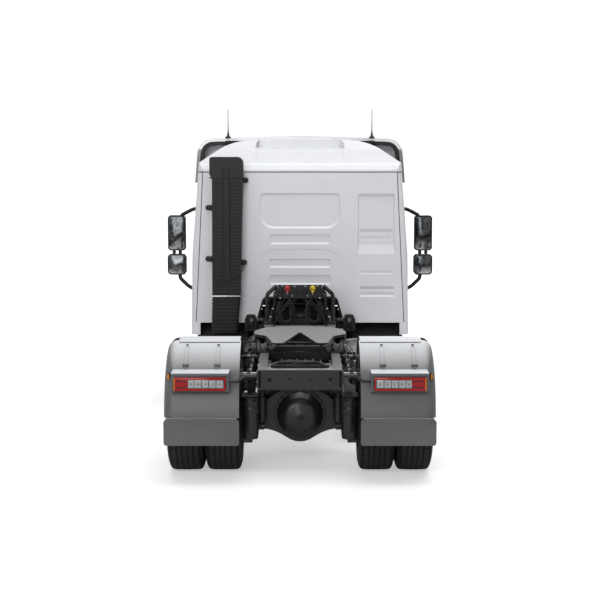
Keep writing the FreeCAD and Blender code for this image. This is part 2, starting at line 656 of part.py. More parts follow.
def cab_form(inset):
    """The cab's closed outer form, drawn in by inset on every side but below."""
    shape = None
    wires = []
    for z, half_width, front, corner in cab_levels:
        w = half_width - inset
        corners = [(-w, cab_rear_y + inset), (w, cab_rear_y + inset), (w, front - inset),
                   (-w, front - inset)]
        radii = [max(90 - inset, 30), max(90 - inset, 30), corner - inset, corner - inset]
        wires.append(rounded_wire([V(x, y, z) for x, y in corners], radii))
    body = Part.makeLoft(wires, True, True)
    # Roof: rises from the seam over the rear wall, nearly level, then falls to the windscreen.
    roof = [(0, cab_low_z), (0, 2685 - inset), (cab_rear_y + inset * 0.4 - 30, 2685 - inset),
            (cab_rear_y + 35 + inset * 0.4, 2810 - inset * 0.9), (1030, 2967 - inset),
            (2250, 3101 - inset), (2600 - inset * 0.5, 3020 - inset), (2850 - inset, 2535),
            (2850, cab_low_z)]
    side = prism_x(roof, [0, 0, 0, 90, 700, 700, 110, 0, 0], -1400, 1400)
    crown = prism_y([(-1400, cab_low_z), (-1400, 2650 - 1.2 * inset), (-830 + 0.2 * inset, 3038 - inset),
                     (0, 3125 - inset), (830 - 0.2 * inset, 3038 - inset), (1400, 2650 - 1.2 * inset),
                     (1400, cab_low_z)], [0, 0, 520, 4000, 520, 0, 0], 0, 3000)
    return body.common(side).common(crown)


def tunnel(inset, y0, y1, low):
    """The engine tunnel under the floor; inset makes its hollow."""
    rear = prism_y([(-541 - inset, low), (541 + inset, low), (410 + inset, 1287 + inset),
                    (-410 - inset, 1287 + inset)], [0, 0, 50, 50], y0, y1)
    front = prism_y([(-380 - inset, low), (380 + inset, low), (360 + inset, 1545 + inset),
                     (-360 - inset, 1545 + inset)], [0, 0, 50, 50], 1180, y1)
    return fused([rear, front])


def door_outline(gap):
    """The door's edge in side view, drawn in by gap."""
    outline = [(door_hinge_y - 12 - gap, 907 + gap), (door_hinge_y - 12 - gap, 1795),
               (2262 - gap, 2625 - gap), (1320 + gap, 2625 - gap), (1270 + gap, 1935),
               (1270 + gap, 907 + gap)]
    return outline, [40, 0, 90, 90, 200, 40]


def door_prism(gap, x0, x1):
    outline, radii = door_outline(gap)
    return prism_x(outline, radii, x0, x1)


def arch(radius, x0, x1):
    return rod(V(x0, front_axle_y, axle_z), V(x1, front_axle_y, axle_z), radius)


screen_outline = [(-1085, 1835), (1085, 1835), (1050, 2675), (-1050, 2675)]
lid_outline = [(-1000, 1045), (1000, 1045), (1010, 1725), (-1010, 1725)]


def cab_shell(outer, inner):
    shell = outer.common(box(-1400, 1400, 0, 3000, 0, seam_z))
    interior = inner.common(box(-1400, 1400, 0, 3000, floor_top, 3200))
    interior = interior.cut(tunnel(34, 740, 2680, floor_low))
    shell = shell.cut(interior)
    # Everything below the floor, inside the skirts
    shell = shell.cut(box(-1195, 1195, cab_rear_y + cab_wall, 2800 - cab_wall, 0, floor_low))
    shell = shell.cut(box(-1140, 1140, 700, cab_rear_y + cab_wall + 1, 0, cab_wall_low_z))
    shell = shell.cut(box(-1400, 1400, 2390, 2900, 0, cab_lip_z))
    shell = shell.cut(box(-1400, 1400, front_axle_y, 2900, 0, 901))
    for sign in (-1, 1):
        # Slots that the tilting brackets pass through
        shell = shell.cut(box(sign * 345 - 22, sign * 345 + 22, 2650, 2900, 835, 1025))
    shell = shell.cut(tunnel(0, 700, 2650, 800))
    shell = shell.cut(arch(arch_radius, -1400, 1400))
    # Doors, windscreen and front panel
    for sign in (-1, 1):
        shell = shell.cut(door_prism(0, sign * 1060, sign * 1300))
    shell = shell.cut(prism_y(screen_outline, 70, 2400, 2900))
    shell = shell.cut(outer.cut(cab_form(36)).common(prism_y([(-1008, 1037), (1008, 1037), (1018, 1733),
                                                              (-1018, 1733)], 48, 2500, 2900)))
    shell = shell.cut(panel_y(-320, 320, 1035, 1535, 40, 2600, 2900))
    # Pressings of the rear wall: edges, radii of the lower and upper corners, depth, lean of the sides, foot
    # and head
    for x0, x1, z0, z1, low_r, top_r, depth, side, low, top in (
            (-456, 456, 2082, 2481, 150, 48, 16, 18, 22, 12), (-340, 340, 1902, 2014, 22, 22, 12, 14, 20, 6),
            (-350, 350, 1634, 1734, 22, 22, 12, 14, 20, 6), (-350, 350, 1440, 1548, 22, 22, 12, 14, 20, 6),
            (655, 1075, 1790, 2478, 12, 12, 28, 16, 105, 34), (690, 1046, 2040, 2072, 6, 6, 48, 4, 2, 2),
            (700, 1040, 1940, 1992, 6, 6, 36, 4, 16, 4), (692, 1058, 1562, 1596, 6, 6, 9, 6, 10, 2),
            (690, 1070, 1390, 1420, 6, 6, 30, 6, 6, 2), (680, 1078, 1300, 1350, 8, 8, 14, 12, 24, 8)):
        shell = shell.cut(pressing(x0, x1, z0, z1, low_r, top_r, depth, side, low, top))
    # Arched panel: a low groove along its upper edge
    groove = prism_y([(-448, 1754), (-345, 1848), (345, 1848), (448, 1754), (440, 1745), (340, 1837),
                      (-340, 1837),
                      (-440, 1745)], [0, 170, 170, 0, 0, 160, 160, 0], cab_rear_y - 5, cab_rear_y + 11)
    shell = shell.cut(groove)
    # Grooves under the roof seam and down the rear corners
    rim = outer.cut(cab_form(16))
    shell = shell.cut(rim.common(box(-1400, 1400, 0, 3000, seam_z - 11, seam_z)))
    for sign in (-1, 1):
        strip = prism_y([(sign * 1094, seam_z - 5), (sign * 1103, seam_z - 5), (sign * 1192, 1010),
                         (sign * 1183, 1010)],
                        0, cab_rear_y - 10, cab_rear_y + 120)
        shell = shell.cut(rim.common(strip))
    return shell


def cab_roof(outer, inner):
    roof = outer.cut(inner).common(box(-1400, 1400, 0, 3000, seam_z, 3300))
    # Level tray in the roof's rear half, closed by a thicker panel below it
    bed = outer.common(prism_z([(-545, 1070), (545, 1070), (545, 2036), (-545, 2036)], [0, 0, 60, 60], 2950,
                               3300))
    tray = prism_y([(-520, 2980), (520, 2980), (520, 3048), (430, 3112), (430, 3300), (-430, 3300),
                    (-430, 3112),
                    (-520, 3048)], [0, 0, 60, 20, 0, 0, 20, 60], 1060, 2010)
    roof = fused([roof, bed]).cut(tray)
    # Shallow pocket across the slope behind the tray
    pocket = outer.cut(cab_form(13)).common(box(-500, 500, 864, 1200, 2850, 3000))
    return roof.cut(pocket)


def windscreen(outer):
    pane = outer.cut(cab_form(12))
    return pane.common(prism_y(screen_outline, 70, 2400, 2900))


def front_panel(outer):
    lid = outer.cut(cab_form(30)).common(prism_y(lid_outline, 40, 2500, 2900))
    # Grille slots across the lower half
    for row in range(5):
        z = 1075 + row * 82
        lid = lid.cut(panel_y(-760, 760, z, z + 52, 18, 2600, 2900))
    return lid


def door(sign, outer, inner):
    wall = outer.cut(inner)
    low = box(-1400, 1400, 0, 3000, 0, floor_top).common(outer).cut(box(-1195, 1195, 0, 3000, 0, 1335))
    whole = fused([wall.common(box(-1400, 1400, 0, 3000, floor_top - 1, 3300)), low])
    slab = whole.common(door_prism(7, sign * 1060, sign * 1300))
    slab = slab.cut(arch(arch_radius, -1400, 1400))
    slab = slab.cut(window_prism(sign))
    return slab


def window_prism(sign):
    outline = [(2285, 1825), (2190, 2535), (1400, 2535), (1370, 1875), (1450, 1795)]
    return prism_x(outline, [50, 80, 90, 60, 60], sign * 1060, sign * 1300)


def door_glass(sign, outer):
    pane = cab_form(20).cut(cab_form(26))
    return pane.common(window_prism(sign))


def sun_visor():
    # A hood over the windscreen whose ends wrap round the cab's upper corners
    outline = [(-1318, 2525), (-1296, 2800), (-1264, 3071), (0, 3107), (1264, 3071), (1296, 2800),
               (1318, 2525)]
    inner = [(1276, 2525), (1256, 2800), (1226, 3034), (0, 3071), (-1226, 3034), (-1256, 2800),
             (-1276, 2525)]
    outer_wire = [V(x, 2560, z) for x, z in outline]
    inner_wire = [V(x, 2560, z) for x, z in inner]
    radii = [0, 900, 195, 3000, 195, 900, 0, 0, 860, 160, 3000, 160, 860, 0]
    hood = Part.Face(rounded_wire(outer_wire + inner_wire, radii)).extrude(V(0, 260, 0))
    # Screen across its front, curved up over the glass
    screen = Part.Face(rounded_wire([V(x, 2560, z) for x, z in outline] + [V(1180, 2560, 2640),
                                                                           V(1040, 2560, 2716),
                       V(-1040, 2560, 2716), V(-1180, 2560, 2640)],
                       [0, 900, 195, 3000, 195, 900, 0, 60, 180, 180, 60])).extrude(V(0, 260, 0))
    screen = screen.common(prism_x([(2818, 3135), (2808, 2975), (2688, 2515), (2740, 2515), (2850, 2975),
                                    (2850, 3135)], 0, -1400, 1400))
    # The front edge slopes back towards the lower ends.
    front = prism_x([(2900, 3135), (2830, 3135), (2820, 2975), (2700, 2515), (2900, 2515)], 0, -1400, 1400)
    stays = []
    for sign in (-1, 1):
        stays.append(rod(V(sign * 1140, 2580, 2735), V(sign * 1280, 2590, 2695), 14))
        stays.append(rod(V(sign * 640, 2590, 2990), V(sign * 640, 2600, 3080), 14))
    return fused([hood, screen]).cut(front), stays


def mirrors():
    solids = []
    y = 2440.0
    main = panel_y(1430, 1652, 1686, 2123, 40, y - 45, y + 45)
    wide = panel_y(1424, 1658, 1381, 1639, 45, y - 45, y + 45)
    # Shallow recesses at the back hold the mirror glass
    main = main.cut(panel_y(1442, 1640, 1698, 2111, 32, y - 50, y - 33))
    wide = wide.cut(panel_y(1436, 1646, 1393, 1627, 36, y - 50, y - 33))
    upper = bent_tube([V(1190, y, 2212), V(1330, y, 2205), V(1487, y, 2125), V(1492, y, 2040)],
                      [0, 160, 60, 0], 23)
    posts = [rod(V(1578, y, 1630), V(1578, y, 1696), 12), rod(V(1502, y, 1630), V(1502, y, 1696), 17)]
    lower = bent_tube([V(1508, y, 1420), V(1506, y, 1335), V(1400, y, 1232), V(1215, y, 1140)],
                      [0, 70, 160, 0], 24)
    side = fused([main, wide, upper, lower] + posts)
    return with_mirror(side)


def intake_stack():
    # Raised air intake on the left of the rear wall: smooth hood, ribbed duct, strap and a tapered boot
    # below
    duct = prism_y([(-984, 2700), (-640, 2700), (-672, 1325), (-990, 1325)], [10, 10, 16, 16], 560, 742)
    for row in range(33):
        z = 1352 + row * 39
        duct = duct.cut(box(-1020, -620, 550, 572, z, z + 12))
    hood = prism_y([(-1012, 2892), (-636, 2892), (-636, 2660), (-984, 2660), (-1012, 2700)],
                   [24, 66, 0, 0, 12],
                   552, 742)
    ridge = panel_y(-855, -795, 1500, 2760, 26, 546, 570)
    ridge = ridge.cut(panel_y(-839, -811, 1520, 2740, 13, 540, 553))
    strap = box(-992, -668, 548, 744, 1322, 1340)
    boot_top = rounded_wire([V(-988, 568, 1329), V(-674, 568, 1329), V(-674, 738, 1329), V(-988, 738, 1329)],
                            24)
    boot_low = rounded_wire([V(-1000, 580, 907), V(-712, 580, 907), V(-712, 730, 907), V(-1000, 730, 907)],
                            24)
    boot = Part.makeLoft([boot_top, boot_low], True, True)
    mounts = [rod(V(x, 700, z), V(x, 751, z), 26) for x, z in ((-612, 2630), (-1040, 2320), (-1046, 1740),
                                                              (-632, 1700))]
    arms = [box(min(x, x + s * 60), max(x, x + s * 60), 705, 735, z - 18, z + 18)
            for x, z, s in ((-612, 2630, -1), (-1040, 2320, 1), (-1046, 1740, 1), (-632, 1700, -1))]
    return fused([duct, hood, ridge, strap, boot] + mounts + arms)


def antennas():
    # Each whip stands on the visor, on a foot that reaches back to the roof.
    profile = [V(0, 0, 0), V(42, 0, 0), V(40, 0, 9), V(16, 0, 34), V(8, 0, 84), V(5, 0, 112), V(2.5, 0, 364),
               V(0, 0, 364)]
    whip = Part.Face(Part.makePolygon(profile + profile[:1])).revolve(V(0, 0, 0), Z_AXIS, 360)
    whip.translate(V(900, 2592, 3078))
    foot = prism_z([(915, 2612), (862, 2560), (700, 2400), (745, 2372), (905, 2470), (935, 2570)], 12, 2985,
                   3050)
    neck = rod(V(900, 2590, 3030), V(900, 2590, 3084), 22)
    return fused([whip, foot, neck])


def dashboard():
    board = prism_x([(2600, 1595), (2740, 1595), (2740, 1805), (2640, 1835), (2480, 1795), (2400, 1695),
                     (2440, 1595)], [0, 0, 20, 30, 60, 50, 30], -1080, 1080)
    cluster = prism_x([(2480, 1735), (2560, 1895), (2640, 1875), (2640, 1735)], 20, -890, -470)
    column = rod(V(-680, 2560, 1595), V(-680, 2290, 1695), 40)
    ring = Part.makeTorus(225, 17, V(-680, 2270, 1703), V(0, -270, 100))
    hub = Part.makeCylinder(60, 30, V(-680, 2300, 1692), V(0, -270, 100))
    spoke = rod(V(-680 - 222, 2270, 1703), V(-680 + 222, 2270, 1703), 14)
    return fused([board, cluster, column, ring, hub, spoke])


def seats():
    solids = []
    for x in (-680, 680):
        base = bar(x - 165, x + 165, 1720, 2080, floor_top, 1515, 40)
        cushion = panel_y(x - 240, x + 240, 1510, 1635, 50, 1640, 2160)
        back = prism_x([(1660, 1625), (1780, 1625), (1660, 2235), (1550, 2235)], 50, x - 240, x + 240)
        head = prism_x([(1560, 2225), (1660, 2225), (1640, 2435), (1550, 2435)], 40, x - 140, x + 140)
        solids.append(fused([base, cushion, back, head]))
    return solids


def bunk():
    base = box(-1120, 1120, cab_rear_y + 60, 1440, 1595, 1675)
    mattress = bar(-1120, 1120, cab_rear_y + 65, 1430, 1675, 1785, 60)
    lockers = [box(min(sign * 560, sign * 1120), max(sign * 560, sign * 1120), cab_rear_y + 60, 1400,
                   floor_top,
                   1595) for sign in (-1, 1)]
    return fused([base, mattress] + lockers)


# ---------------------------------------------------------------- steering and wheels

def knuckle(sign):
    x = sign * kingpin_x
    upper = Part.makeCylinder(52, 40, V(x, front_axle_y, 608))
    lower = Part.makeCylinder(52, 44, V(x, front_axle_y, 440))
    pin = Part.makeCylinder(24, 205, V(x, front_axle_y, 443))
    yoke = box(min(x + sign * 62, x + sign * 100), max(x + sign * 62, x + sign * 100), front_axle_y - 60,
               front_axle_y + 60, 444, 646)
    ears = [box(min(x, x + sign * 80), max(x, x + sign * 80), front_axle_y - 45, front_axle_y + 45, z,
                z + 38)
            for z in (444, 608)]
    spindle = rod(V(x + sign * 95, front_axle_y, axle_z), V(sign * 1100, front_axle_y, axle_z), 40)
    arm = prism_z([(x - 30, front_axle_y - 20), (x + 30, front_axle_y - 20),
                   (x + 26, front_axle_y - steer_arm - 26),
                   (x - 26, front_axle_y - steer_arm - 26)], [0, 0, 24, 24], 466, 490)
    whole = fused([upper, lower, pin, yoke, spindle, arm] + ears)
    return whole


def tie_rod():
    y = front_axle_y - steer_arm
    parts = [rod(V(-kingpin_x, y, tie_rod_z - 18), V(kingpin_x - 60, y, tie_rod_z - 18), 19)]
    parts.append(Part.makeCylinder(30, 44, V(-kingpin_x, y, 416)))
    parts.append(rod(V(kingpin_x - 70, y, tie_rod_z - 18), V(kingpin_x, y, tie_rod_z - 18), 19))
    parts.append(Part.makeCylinder(30, 44, V(kingpin_x, y, 416)))
    return fused(parts)


# Tyre section, from the middle out: share of the half width, radius
tyre_outline = [(0.44, bead_radius), (0.62, bead_radius), (0.62, bead_radius + 15.5),
                (0.77, bead_radius + 17),
                (0.93, 332), (1.0, 410), (0.97, 472), (0.88, 516), (0.80, 532), (0.60, 538), (0.60, 526),
                (0.52, 526), (0.52, 539), (0.22, tyre_radius), (0.22, 526), (0.14, 526), (0.14, tyre_radius)]


def tyre(centre_x, y):
    half = tyre_width / 2
    right = [(share * half, radius) for share, radius in tyre_outline]
    left = [(-x, radius) for x, radius in reversed(right)]
    return turned(right + left, V(centre_x, y, axle_z))


# Rim barrel section: across the rim, radius
rim_half = rim_width / 2
rim_barrel = [(-rim_half, 300), (-rim_half, 262), (rim_half, 262), (rim_half, 300), (rim_half - 12, 300),
              (rim_half - 16, 285.5), (-rim_half + 16, 285.5), (-rim_half + 12, 300)]


def front_rim(sign, hub_x):
    """A dished steel wheel with its hub; the disc stands outboard."""
    half = rim_half
    disc = [(half - 70, 264), (half - 40, 264), (half + 6, 170), (half + 6, 0), (half - 60, 0),
            (half - 60, 90),
            (half - 10, 90), (half - 10, 165)]
    parts = [turned(rim_barrel, V(0, 0, 0)), turned(disc, V(0, 0, 0))]
    parts.append(rod(V(half, 0, 0), V(half + 36, 0, 0), 88))
    whole = fused(parts)
    for i in range(10):
        angle = math.radians(36 * i + 18)
        centre = V(half - 120, 215 * math.sin(angle), 215 * math.cos(angle))
        whole = whole.cut(Part.makeCylinder(26, 200, centre, X_AXIS))
    whole = whole.cut(rod(V(half - 70, 0, 0), V(half - 18, 0, 0), 41))
    if sign < 0:
        whole = mirrored(whole)
    whole.translate(V(sign * hub_x, front_axle_y, axle_z))
    return whole


def rear_rims(sign):
    """Two steel wheels back to back on one hub; the outer disc is dished inwards."""
    half = rim_half
    middle = twin_spacing / 2
    parts = []
    for offset in (-middle, middle):
        parts.append(turned([(x + offset, r) for x, r in rim_barrel], V(0, 0, 0)))
    parts.append(turned([(-14, 90), (-14, 175), (-middle + half - 60, 250), (-middle + half - 60, 264),
                         (-middle + half - 30, 264), (-4, 180), (-4, 90)], V(0, 0, 0)))
    parts.append(turned([(14, 90), (14, 175), (middle - half + 60, 250), (middle - half + 60, 264),
                         (middle - half + 30, 264), (4, 180), (4, 90)], V(0, 0, 0)))
    drum = [(-middle - 60, 68), (-middle - 60, 205), (-20, 205), (-4, 120), (150, 104), (235, 84), (235, 0),
            (60, 0), (60, 68)]
    parts.append(turned(drum, V(0, 0, 0)))
    whole = fused(parts)
    for i in range(10):
        angle = math.radians(36 * i + 18)
        centre = V(0, 225 * math.sin(angle), 225 * math.cos(angle))
        whole = whole.cut(Part.makeCylinder(24, 400, centre - V(200, 0, 0), X_AXIS))
    if sign < 0:
        whole = mirrored(whole)
    whole.translate(V(sign * (twin_inner_x + middle), rear_axle_y, axle_z))
    return whole


# ---------------------------------------------------------------- build

os.makedirs("parts", exist_ok=True)

outer = cab_form(0)
inner = cab_form(cab_wall)

save("chassis_frame", chassis_frame())
save("front_axle", front_axle())
save("front_springs", front_springs())
save("rear_axle", rear_axle())
save("rear_suspension", rear_suspension())
save("drive_shaft", drive_shaft())
save("engine", engine())
save("radiator", radiator())
save("fuel_tank", fuel_tank())
save("battery_box", battery_box())
save("exhaust_silencer", exhaust_silencer())
save("front_bumper", front_bumper())
save("headlamps", headlamps())
save("front_mudguards", front_mudguards())
save("cab_steps", cab_steps())
save("rear_mudguards", rear_mudguards())
save("mud_flaps", mud_flaps())
save("tail_lamps", tail_lamps())
save("lamp_brackets", lamp_brackets())
save("fifth_wheel_base", fifth_wheel_base())
save("fifth_wheel_plate", fifth_wheel_plate())
save("coupling_rack", coupling_rack())
save("air_couplings", air_couplings())
save("left_air_line", air_line(-1))
save("right_air_line", air_line(1))
save("cab_mounts", cab_mounts())

save("cab_shell", cab_shell(outer, inner))
save("cab_roof", cab_roof(outer, inner))
save("windscreen", windscreen(outer))
save("front_panel", front_panel(outer))
for side_name, side_sign in (("left", -1), ("right", 1)):
    save(side_name + "_door", door(side_sign, outer, inner))
    save(side_name + "_door_glass", door_glass(side_sign, outer))
    save(side_name + "_knuckle", knuckle(side_sign))
    save(side_name + "_front_tyre", tyre(side_sign * front_wheel_x, front_axle_y))
    save(side_name + "_front_rim", front_rim(side_sign, front_wheel_x))
    save(side_name + "_rear_tyres", [tyre(side_sign * (twin_inner_x + step), rear_axle_y)
                                     for step in (0, twin_spacing)])
    save(side_name + "_rear_rims", rear_rims(side_sign))
hood, hood_stays = sun_visor()
save("sun_visor", fused([hood] + hood_stays).cut(outer))
save("mirrors", [side.cut(outer) for side in mirrors()])
save("intake_stack", intake_stack().cut(outer))
save("antennas", [side.cut(outer).cut(hood) for side in with_mirror(antennas())])
save("dashboard", dashboard().common(inner))
save("seats", seats())
save("bunk", bunk().common(inner))
save("tie_rod", tie_rod())
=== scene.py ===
import bpy
import bmesh
import math
from mathutils import Vector, Matrix


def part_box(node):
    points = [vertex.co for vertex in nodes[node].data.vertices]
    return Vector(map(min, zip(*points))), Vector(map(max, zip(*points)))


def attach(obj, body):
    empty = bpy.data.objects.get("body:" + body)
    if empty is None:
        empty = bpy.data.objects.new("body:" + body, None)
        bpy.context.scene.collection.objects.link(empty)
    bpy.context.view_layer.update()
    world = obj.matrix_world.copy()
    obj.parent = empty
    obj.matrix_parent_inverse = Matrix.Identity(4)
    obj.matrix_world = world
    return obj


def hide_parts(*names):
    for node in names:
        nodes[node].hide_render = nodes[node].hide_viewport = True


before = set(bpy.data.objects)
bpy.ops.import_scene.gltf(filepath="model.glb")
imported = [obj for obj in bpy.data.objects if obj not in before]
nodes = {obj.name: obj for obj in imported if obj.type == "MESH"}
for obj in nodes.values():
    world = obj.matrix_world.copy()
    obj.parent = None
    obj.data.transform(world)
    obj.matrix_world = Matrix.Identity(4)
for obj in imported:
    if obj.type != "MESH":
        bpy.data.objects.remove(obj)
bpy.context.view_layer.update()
sides = (("left", -1), ("right", 1))
print("frame loaded", len(nodes), "nodes")


# shader parts shared by the finishes

def setInput(tree, socket, value):
    # a number, a colour or another node's output
    if isinstance(value, (int, float)):
        socket.default_value = value
    elif isinstance(value, tuple):
        socket.default_value = value + (1,) if socket.type == "RGBA" and len(value) == 3 else value
    elif value is not None:
        tree.links.new(value, socket)


def setInputs(tree, node, **values):
    for label, value in values.items():
        setInput(tree, node.inputs[label], value)
    return node


def addNode(tree, kind, *values, **settings):
    # a node with its settings, its inputs filled in order
    node = tree.nodes.new("ShaderNode" + kind)
    for label, value in settings.items():
        setattr(node, label, value)
    for socket, value in zip(node.inputs, values):
        setInput(tree, socket, value)
    return node


def addMath(tree, operation, first, second=None, clamp=False):
    return addNode(tree, "Math", first, second, operation=operation, use_clamp=clamp).outputs[0]


def times(tree, first, second):
    return addMath(tree, "MULTIPLY", first, second)


def plus(tree, first, second, clamp=False):
    return addMath(tree, "ADD", first, second, clamp)


def addNoise(tree, vector, scale, detail=3, roughness=0.55, stretch=None):
    if stretch:
        vector = setInputs(tree, addNode(tree, "Mapping", vector), Scale=stretch).outputs["Vector"]
    noise = addNode(tree, "TexNoise", vector)
    return setInputs(tree, noise, Scale=scale, Detail=detail, Roughness=roughness).outputs["Fac"]


def mapRange(tree, value, low, high, toLow=0, toHigh=1):
    return addNode(tree, "MapRange", value, low, high, toLow, toHigh).outputs["Result"]


def mixColour(tree, factor, first, second):
    node = addNode(tree, "Mix", factor, data_type="RGBA")
    setInput(tree, node.inputs[6], first)
    setInput(tree, node.inputs[7], second)
    return node.outputs[2]


def splitAxes(tree, vector):
    return addNode(tree, "SeparateXYZ", vector).outputs


def normalOf(tree):
    return addNode(tree, "NewGeometry").outputs["Normal"]


def dotProduct(tree, first, second):
    return addNode(tree, "VectorMath", first, second, operation="DOT_PRODUCT").outputs["Value"]


def newGroup(name, inputs, outputs):
    # the kind of a socket follows from its value: a number, a colour, or a vector when there is none
    group = bpy.data.node_groups.new(name, "ShaderNodeTree")
    for label, value in inputs.items():
        kind = "Vector" if value is None else "Color" if isinstance(value, tuple) else "Float"
        socket = group.interface.new_socket(name=label, in_out="INPUT", socket_type="NodeSocket" + kind)
        if value is not None:
            socket.default_value = value
    for label, kind in outputs.items():
        group.interface.new_socket(name=label, in_out="OUTPUT", socket_type="NodeSocket" + kind)
    return group, group.nodes.new("NodeGroupInput").outputs, group.nodes.new("NodeGroupOutput")


def makeFilmAndTopLightGroup():
    # road film: settles on what faces up, splashes up from below, and runs down in streaks; the top light share is
    # painted light from above, lightening what faces straight up towards the film colour
    tree, give, take = newGroup("roadFilm", {"Vector": None, "Clean": (0.8, 0.8, 0.8, 1),
        "Film": (0.34, 0.31, 0.27, 1), "Amount": 0.3, "Streaks": 0.2, "Low": 0.3, "High": 1.6, "Settled": 0},
        {"Colour": "Color", "Mask": "Float"})
    vector = give["Vector"]
    splash = mapRange(tree, splitAxes(tree, vector)["Z"], give["Low"], give["High"], 1, 0)
    facing = splitAxes(tree, normalOf(tree))["Z"]
    upward = mapRange(tree, facing, 0.35, 0.95)
    patches = mapRange(tree, addNoise(tree, vector, 3.5, 5), 0.35, 0.72)
    fine = mapRange(tree, addNoise(tree, vector, 60, 4), 0.3, 0.75)
    streaks = mapRange(tree, addNoise(tree, vector, 14, 3, 0.6, (1, 1, 0.06)), 0.55, 0.8)
    base = plus(tree, times(tree, splash, 0.7), times(tree, upward, 0.6))
    base = times(tree, base, plus(tree, times(tree, patches, 0.6), 0.35))
    base = times(tree, base, plus(tree, times(tree, fine, 0.5), 0.5))
    # painted light from above: what faces straight up is lightened towards the film colour
    topLight = times(tree, mapRange(tree, facing, 0.66, 0.99), give["Settled"])
    topLight = times(tree, topLight, plus(tree, times(tree, fine, 0.12), 0.9))
    film = plus(tree, times(tree, base, give["Amount"]), times(tree, streaks, give["Streaks"]))
    mask = plus(tree, film, topLight, clamp=True)
    setInputs(tree, take, Mask=mask, Colour=mixColour(tree, mask, give["Clean"], give["Film"]))
    return tree


def makeGrainGroup():
    # fine moulded or sprayed grain, as a normal
    tree, give, take = newGroup("surfaceGrain", {"Vector": None, "Scale": 400, "Strength": 0.1, "Waves": 0},
        {"Normal": "Vector", "Mask": "Float"})
    grain = addNoise(tree, give["Vector"], give["Scale"], 2)
    height = plus(tree, grain, times(tree, addNoise(tree, give["Vector"], 5, 2), give["Waves"]))
    bump = setInputs(tree, addNode(tree, "Bump"), Distance=0.002, Strength=give["Strength"], Height=height)
    setInputs(tree, take, Normal=bump.outputs["Normal"], Mask=grain)
    return tree


def makeWearGroup():
    # bright or rusty metal where an edge is rubbed
    tree, give, take = newGroup("edgeWear", {"Vector": None, "Clean": (0.1, 0.1, 0.1, 1), "Worn": (0.3, 0.2, 0.14, 1),
        "Amount": 0.4, "Width": 0.004}, {"Colour": "Color", "Mask": "Float"})
    bevel = setInputs(tree, addNode(tree, "Bevel", samples=4), Radius=give["Width"])
    edge = mapRange(tree, dotProduct(tree, bevel.outputs["Normal"], normalOf(tree)), 0.995, 0.8)
    chips = mapRange(tree, addNoise(tree, give["Vector"], 45, 6, 0.7), 0.5, 0.62)
    mask = addMath(tree, "MULTIPLY", times(tree, edge, chips), give["Amount"], clamp=True)
    setInputs(tree, take, Mask=mask, Colour=mixColour(tree, mask, give["Clean"], give["Worn"]))
    return tree


roadFilm = makeFilmAndTopLightGroup()
surfaceGrain = makeGrainGroup()
edgeWear = makeWearGroup()


def placeGroup(tree, group, **values):
    return setInputs(tree, addNode(tree, "Group", node_tree=group), **values).outputs


def newMaterial(name):
    # an empty finish: itself, its tree, its shader and its place in space
    finish = bpy.data.materials.new(name)
    finish.use_nodes = True
    tree = finish.node_tree
    return finish, tree, tree.nodes["Principled BSDF"], addNode(tree, "TexCoord").outputs["Object"]


def setShader(tree, shader, colour, rough, metal=0, **others):
    setInputs(tree, shader, **{"Base Color": colour, "Roughness": rough, "Metallic": metal, **others})


def lineInside(tree, vector, colour, lining):
    # what looks towards the cab's middle is lined with grey trim
    place = addNode(tree, "VectorMath", vector, (0, 1.75, 1.9), operation="SUBTRACT").outputs[0]
    axes = splitAxes(tree, vector)
    lined = mapRange(tree, dotProduct(tree, place, normalOf(tree)), -0.12, -0.16)
    for axis, start, end in (("Y", 0.788, 0.792), ("Y", 2.66, 2.65), ("Z", 1.245, 1.25), ("Z", 2.945, 2.94)):
        lined = times(tree, lined, mapRange(tree, axes[axis], start, end))
    return mixColour(tree, lined, colour, lining)


def paintGrooveShade(tree, vector, colour, grooveShade):
    # painted shade: the grooves' floors, below the tread's face, are coloured dark
    axes = splitAxes(tree, vector)
    front = times(tree, addMath(tree, "GREATER_THAN", axes["Y"], 0), 3.6)
    along = addMath(tree, "SUBTRACT", addMath(tree, "SUBTRACT", axes["Y"], front), -2.11)
    upright = addMath(tree, "SUBTRACT", axes["Z"], 0.54)
    reach = addMath(tree, "SQRT", plus(tree, times(tree, along, along), times(tree, upright, upright)))
    flat = mapRange(tree, addMath(tree, "ABSOLUTE", splitAxes(tree, normalOf(tree))["X"]), 0.85, 0.7)
    return mixColour(tree, times(tree, flat, mapRange(tree, reach, 0.5365, 0.5335)), colour, grooveShade)


